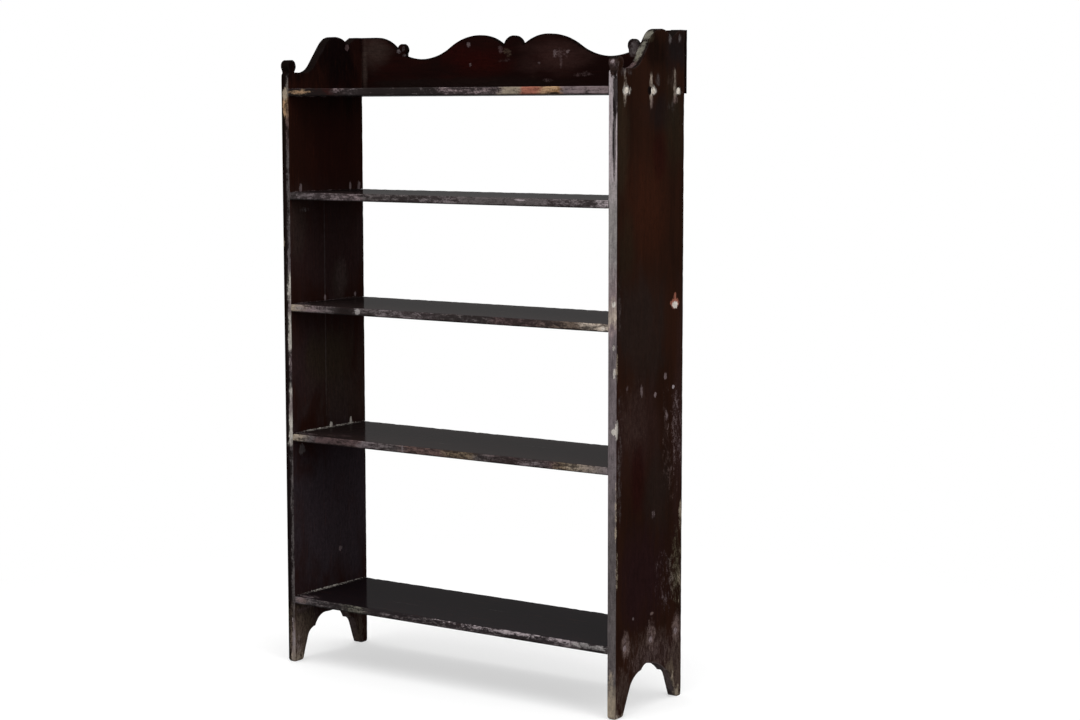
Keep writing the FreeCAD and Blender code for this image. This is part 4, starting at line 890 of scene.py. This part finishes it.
def darkIron():
    m = Finish("dark_iron")
    place = m.add("ShaderNodeTexCoord", {}, {}, "Object")
    pits = m.noise(place, 900.0, 4.0, 0.6)
    bloom = m.noise(place, 260.0, 3.0, 0.6)
    colour = m.mix(m.smooth(bloom, 0.45, 0.65), tones["ironDark"], tones["rust"])
    bump = m.add("ShaderNodeBump", {}, {"Strength": 0.6, "Distance": 0.0003, "Height": pits}, "Normal")
    return m.surface(colour, 0.5 + pits * 0.3, bump, metal=0.55)


plugFinish, ironFinish = plugWood(), darkIron()
for node, finish in (("screw_plugs", plugFinish), ("shelf_screws", ironFinish), ("crest_nails", ironFinish)):
    nodes[node].data.materials.clear()
    nodes[node].data.materials.append(finish)
print("plugs and fasteners finished")

# Stage: a pale floor that keeps the shadow, and a white surround
stage = {"floorSize": 60.0, "shadowTone": 0.52, "lift": 0.50, "bounce": 0.30, "whiteFrom": 0.6, "whiteAt": 1.7}
bpy.ops.object.select_all(action="DESELECT")
bpy.ops.mesh.primitive_plane_add(size=stage["floorSize"], location=(0, 0, 0))
floor = bpy.context.active_object
floor.name = "floor"
f = Finish("floor_white")
isDirect = f.largest(f.largest(f.add("ShaderNodeLightPath", {}, {}, "Is Camera Ray"),
                               f.add("ShaderNodeLightPath", {}, {}, "Is Glossy Ray")),
                     f.add("ShaderNodeLightPath", {}, {}, "Is Transmission Ray"))
place = f.add("ShaderNodeTexCoord", {}, {}, "Object")
away = f.add("ShaderNodeVectorMath", {"operation": "LENGTH"}, {0: place}, "Value")
farOff = f.smooth(away, stage["whiteFrom"], stage["whiteAt"])
seen = f.add("ShaderNodeBsdfDiffuse", {}, {"Color": (stage["shadowTone"],) * 3})
lift = f.add("ShaderNodeEmission", {}, {"Color": (1, 1, 1), "Strength": stage["lift"]})
both = f.add("ShaderNodeAddShader", {}, {0: seen, 1: lift})
white = f.add("ShaderNodeEmission", {}, {"Color": (1, 1, 1), "Strength": 1.0})
toCamera = f.add("ShaderNodeMixShader", {}, {0: farOff, 1: both, 2: white})
toOthers = f.add("ShaderNodeBsdfDiffuse", {}, {"Color": (stage["bounce"],) * 3})
whole = f.add("ShaderNodeMixShader", {}, {0: isDirect, 1: toOthers, 2: toCamera})
out = f.tree.nodes.new("ShaderNodeOutputMaterial")
f.link(out.inputs[0], whole)
floor.data.materials.append(f.material)

surround = {"soft": 0.50, "white": 1.0}
world = bpy.data.worlds.new("white_surround")
scene.world = world
world.use_nodes = True
tree = world.node_tree
tree.nodes.clear()
rays = tree.nodes.new("ShaderNodeLightPath")
direct = rays.outputs["Is Camera Ray"]
for label in ("Is Glossy Ray", "Is Transmission Ray"):
    either = tree.nodes.new("ShaderNodeMath")
    either.operation = "MAXIMUM"
    tree.links.new(direct, either.inputs[0])
    tree.links.new(rays.outputs[label], either.inputs[1])
    direct = either.outputs[0]
mixer = tree.nodes.new("ShaderNodeMix")
mixer.inputs[2].default_value = surround["soft"]
mixer.inputs[3].default_value = surround["white"]
tree.links.new(direct, mixer.inputs[0])
background = tree.nodes.new("ShaderNodeBackground")
background.inputs[0].default_value = (1, 1, 1, 1)
tree.links.new(mixer.outputs[0], background.inputs[1])
worldOut = tree.nodes.new("ShaderNodeOutputWorld")
tree.links.new(background.outputs[0], worldOut.inputs[0])


# Three big soft lamps: one overhead, one in front, one at the right
lamps = {  # where, what it faces, size, power
    "key": ((0.3, -0.65, 4.4), (0, 0, 0.6), 4.8, 186),
    "front": ((-0.4, -5.2, 2.2), (0, 0, 0.7), 2.6, 60),
    "side": ((4.4, -0.9, 2.1), (0.4, 0, 0.8), 2.4, 58),
}


def softLamp(label, spot, aim, size, power):
    data = bpy.data.lights.new(label, "AREA")
    data.shape = "SQUARE"
    data.size = size
    data.energy = power
    lamp = bpy.data.objects.new(label, data)
    scene.collection.objects.link(lamp)
    lamp.location = spot
    lamp.rotation_euler = (Vector(aim) - Vector(spot)).to_track_quat("-Z", "Y").to_euler()


for label, setting in lamps.items():
    softLamp(label, *setting)
print("stage and lamps set")

# Camera, fitted to the photograph's edges
view = {"lens": 74.891, "sensor": 36.0, "farEnd": 200.0, "spot": (2.98812, -4.02624, 1.28018),
        "turn": 35.008, "dip": 6.304, "roll": 0.052}  # millimetres, metres and degrees
data = bpy.data.cameras.new("camera")
data.lens = view["lens"]
data.sensor_width = view["sensor"]
data.clip_end = view["farEnd"]
camera = bpy.data.objects.new("camera", data)
scene.collection.objects.link(camera)
camera.location = view["spot"]
camera.rotation_euler = [math.radians(angle) for angle in (90 - view["dip"], view["roll"], view["turn"])]
scene.camera = camera

bpy.context.view_layer.update()
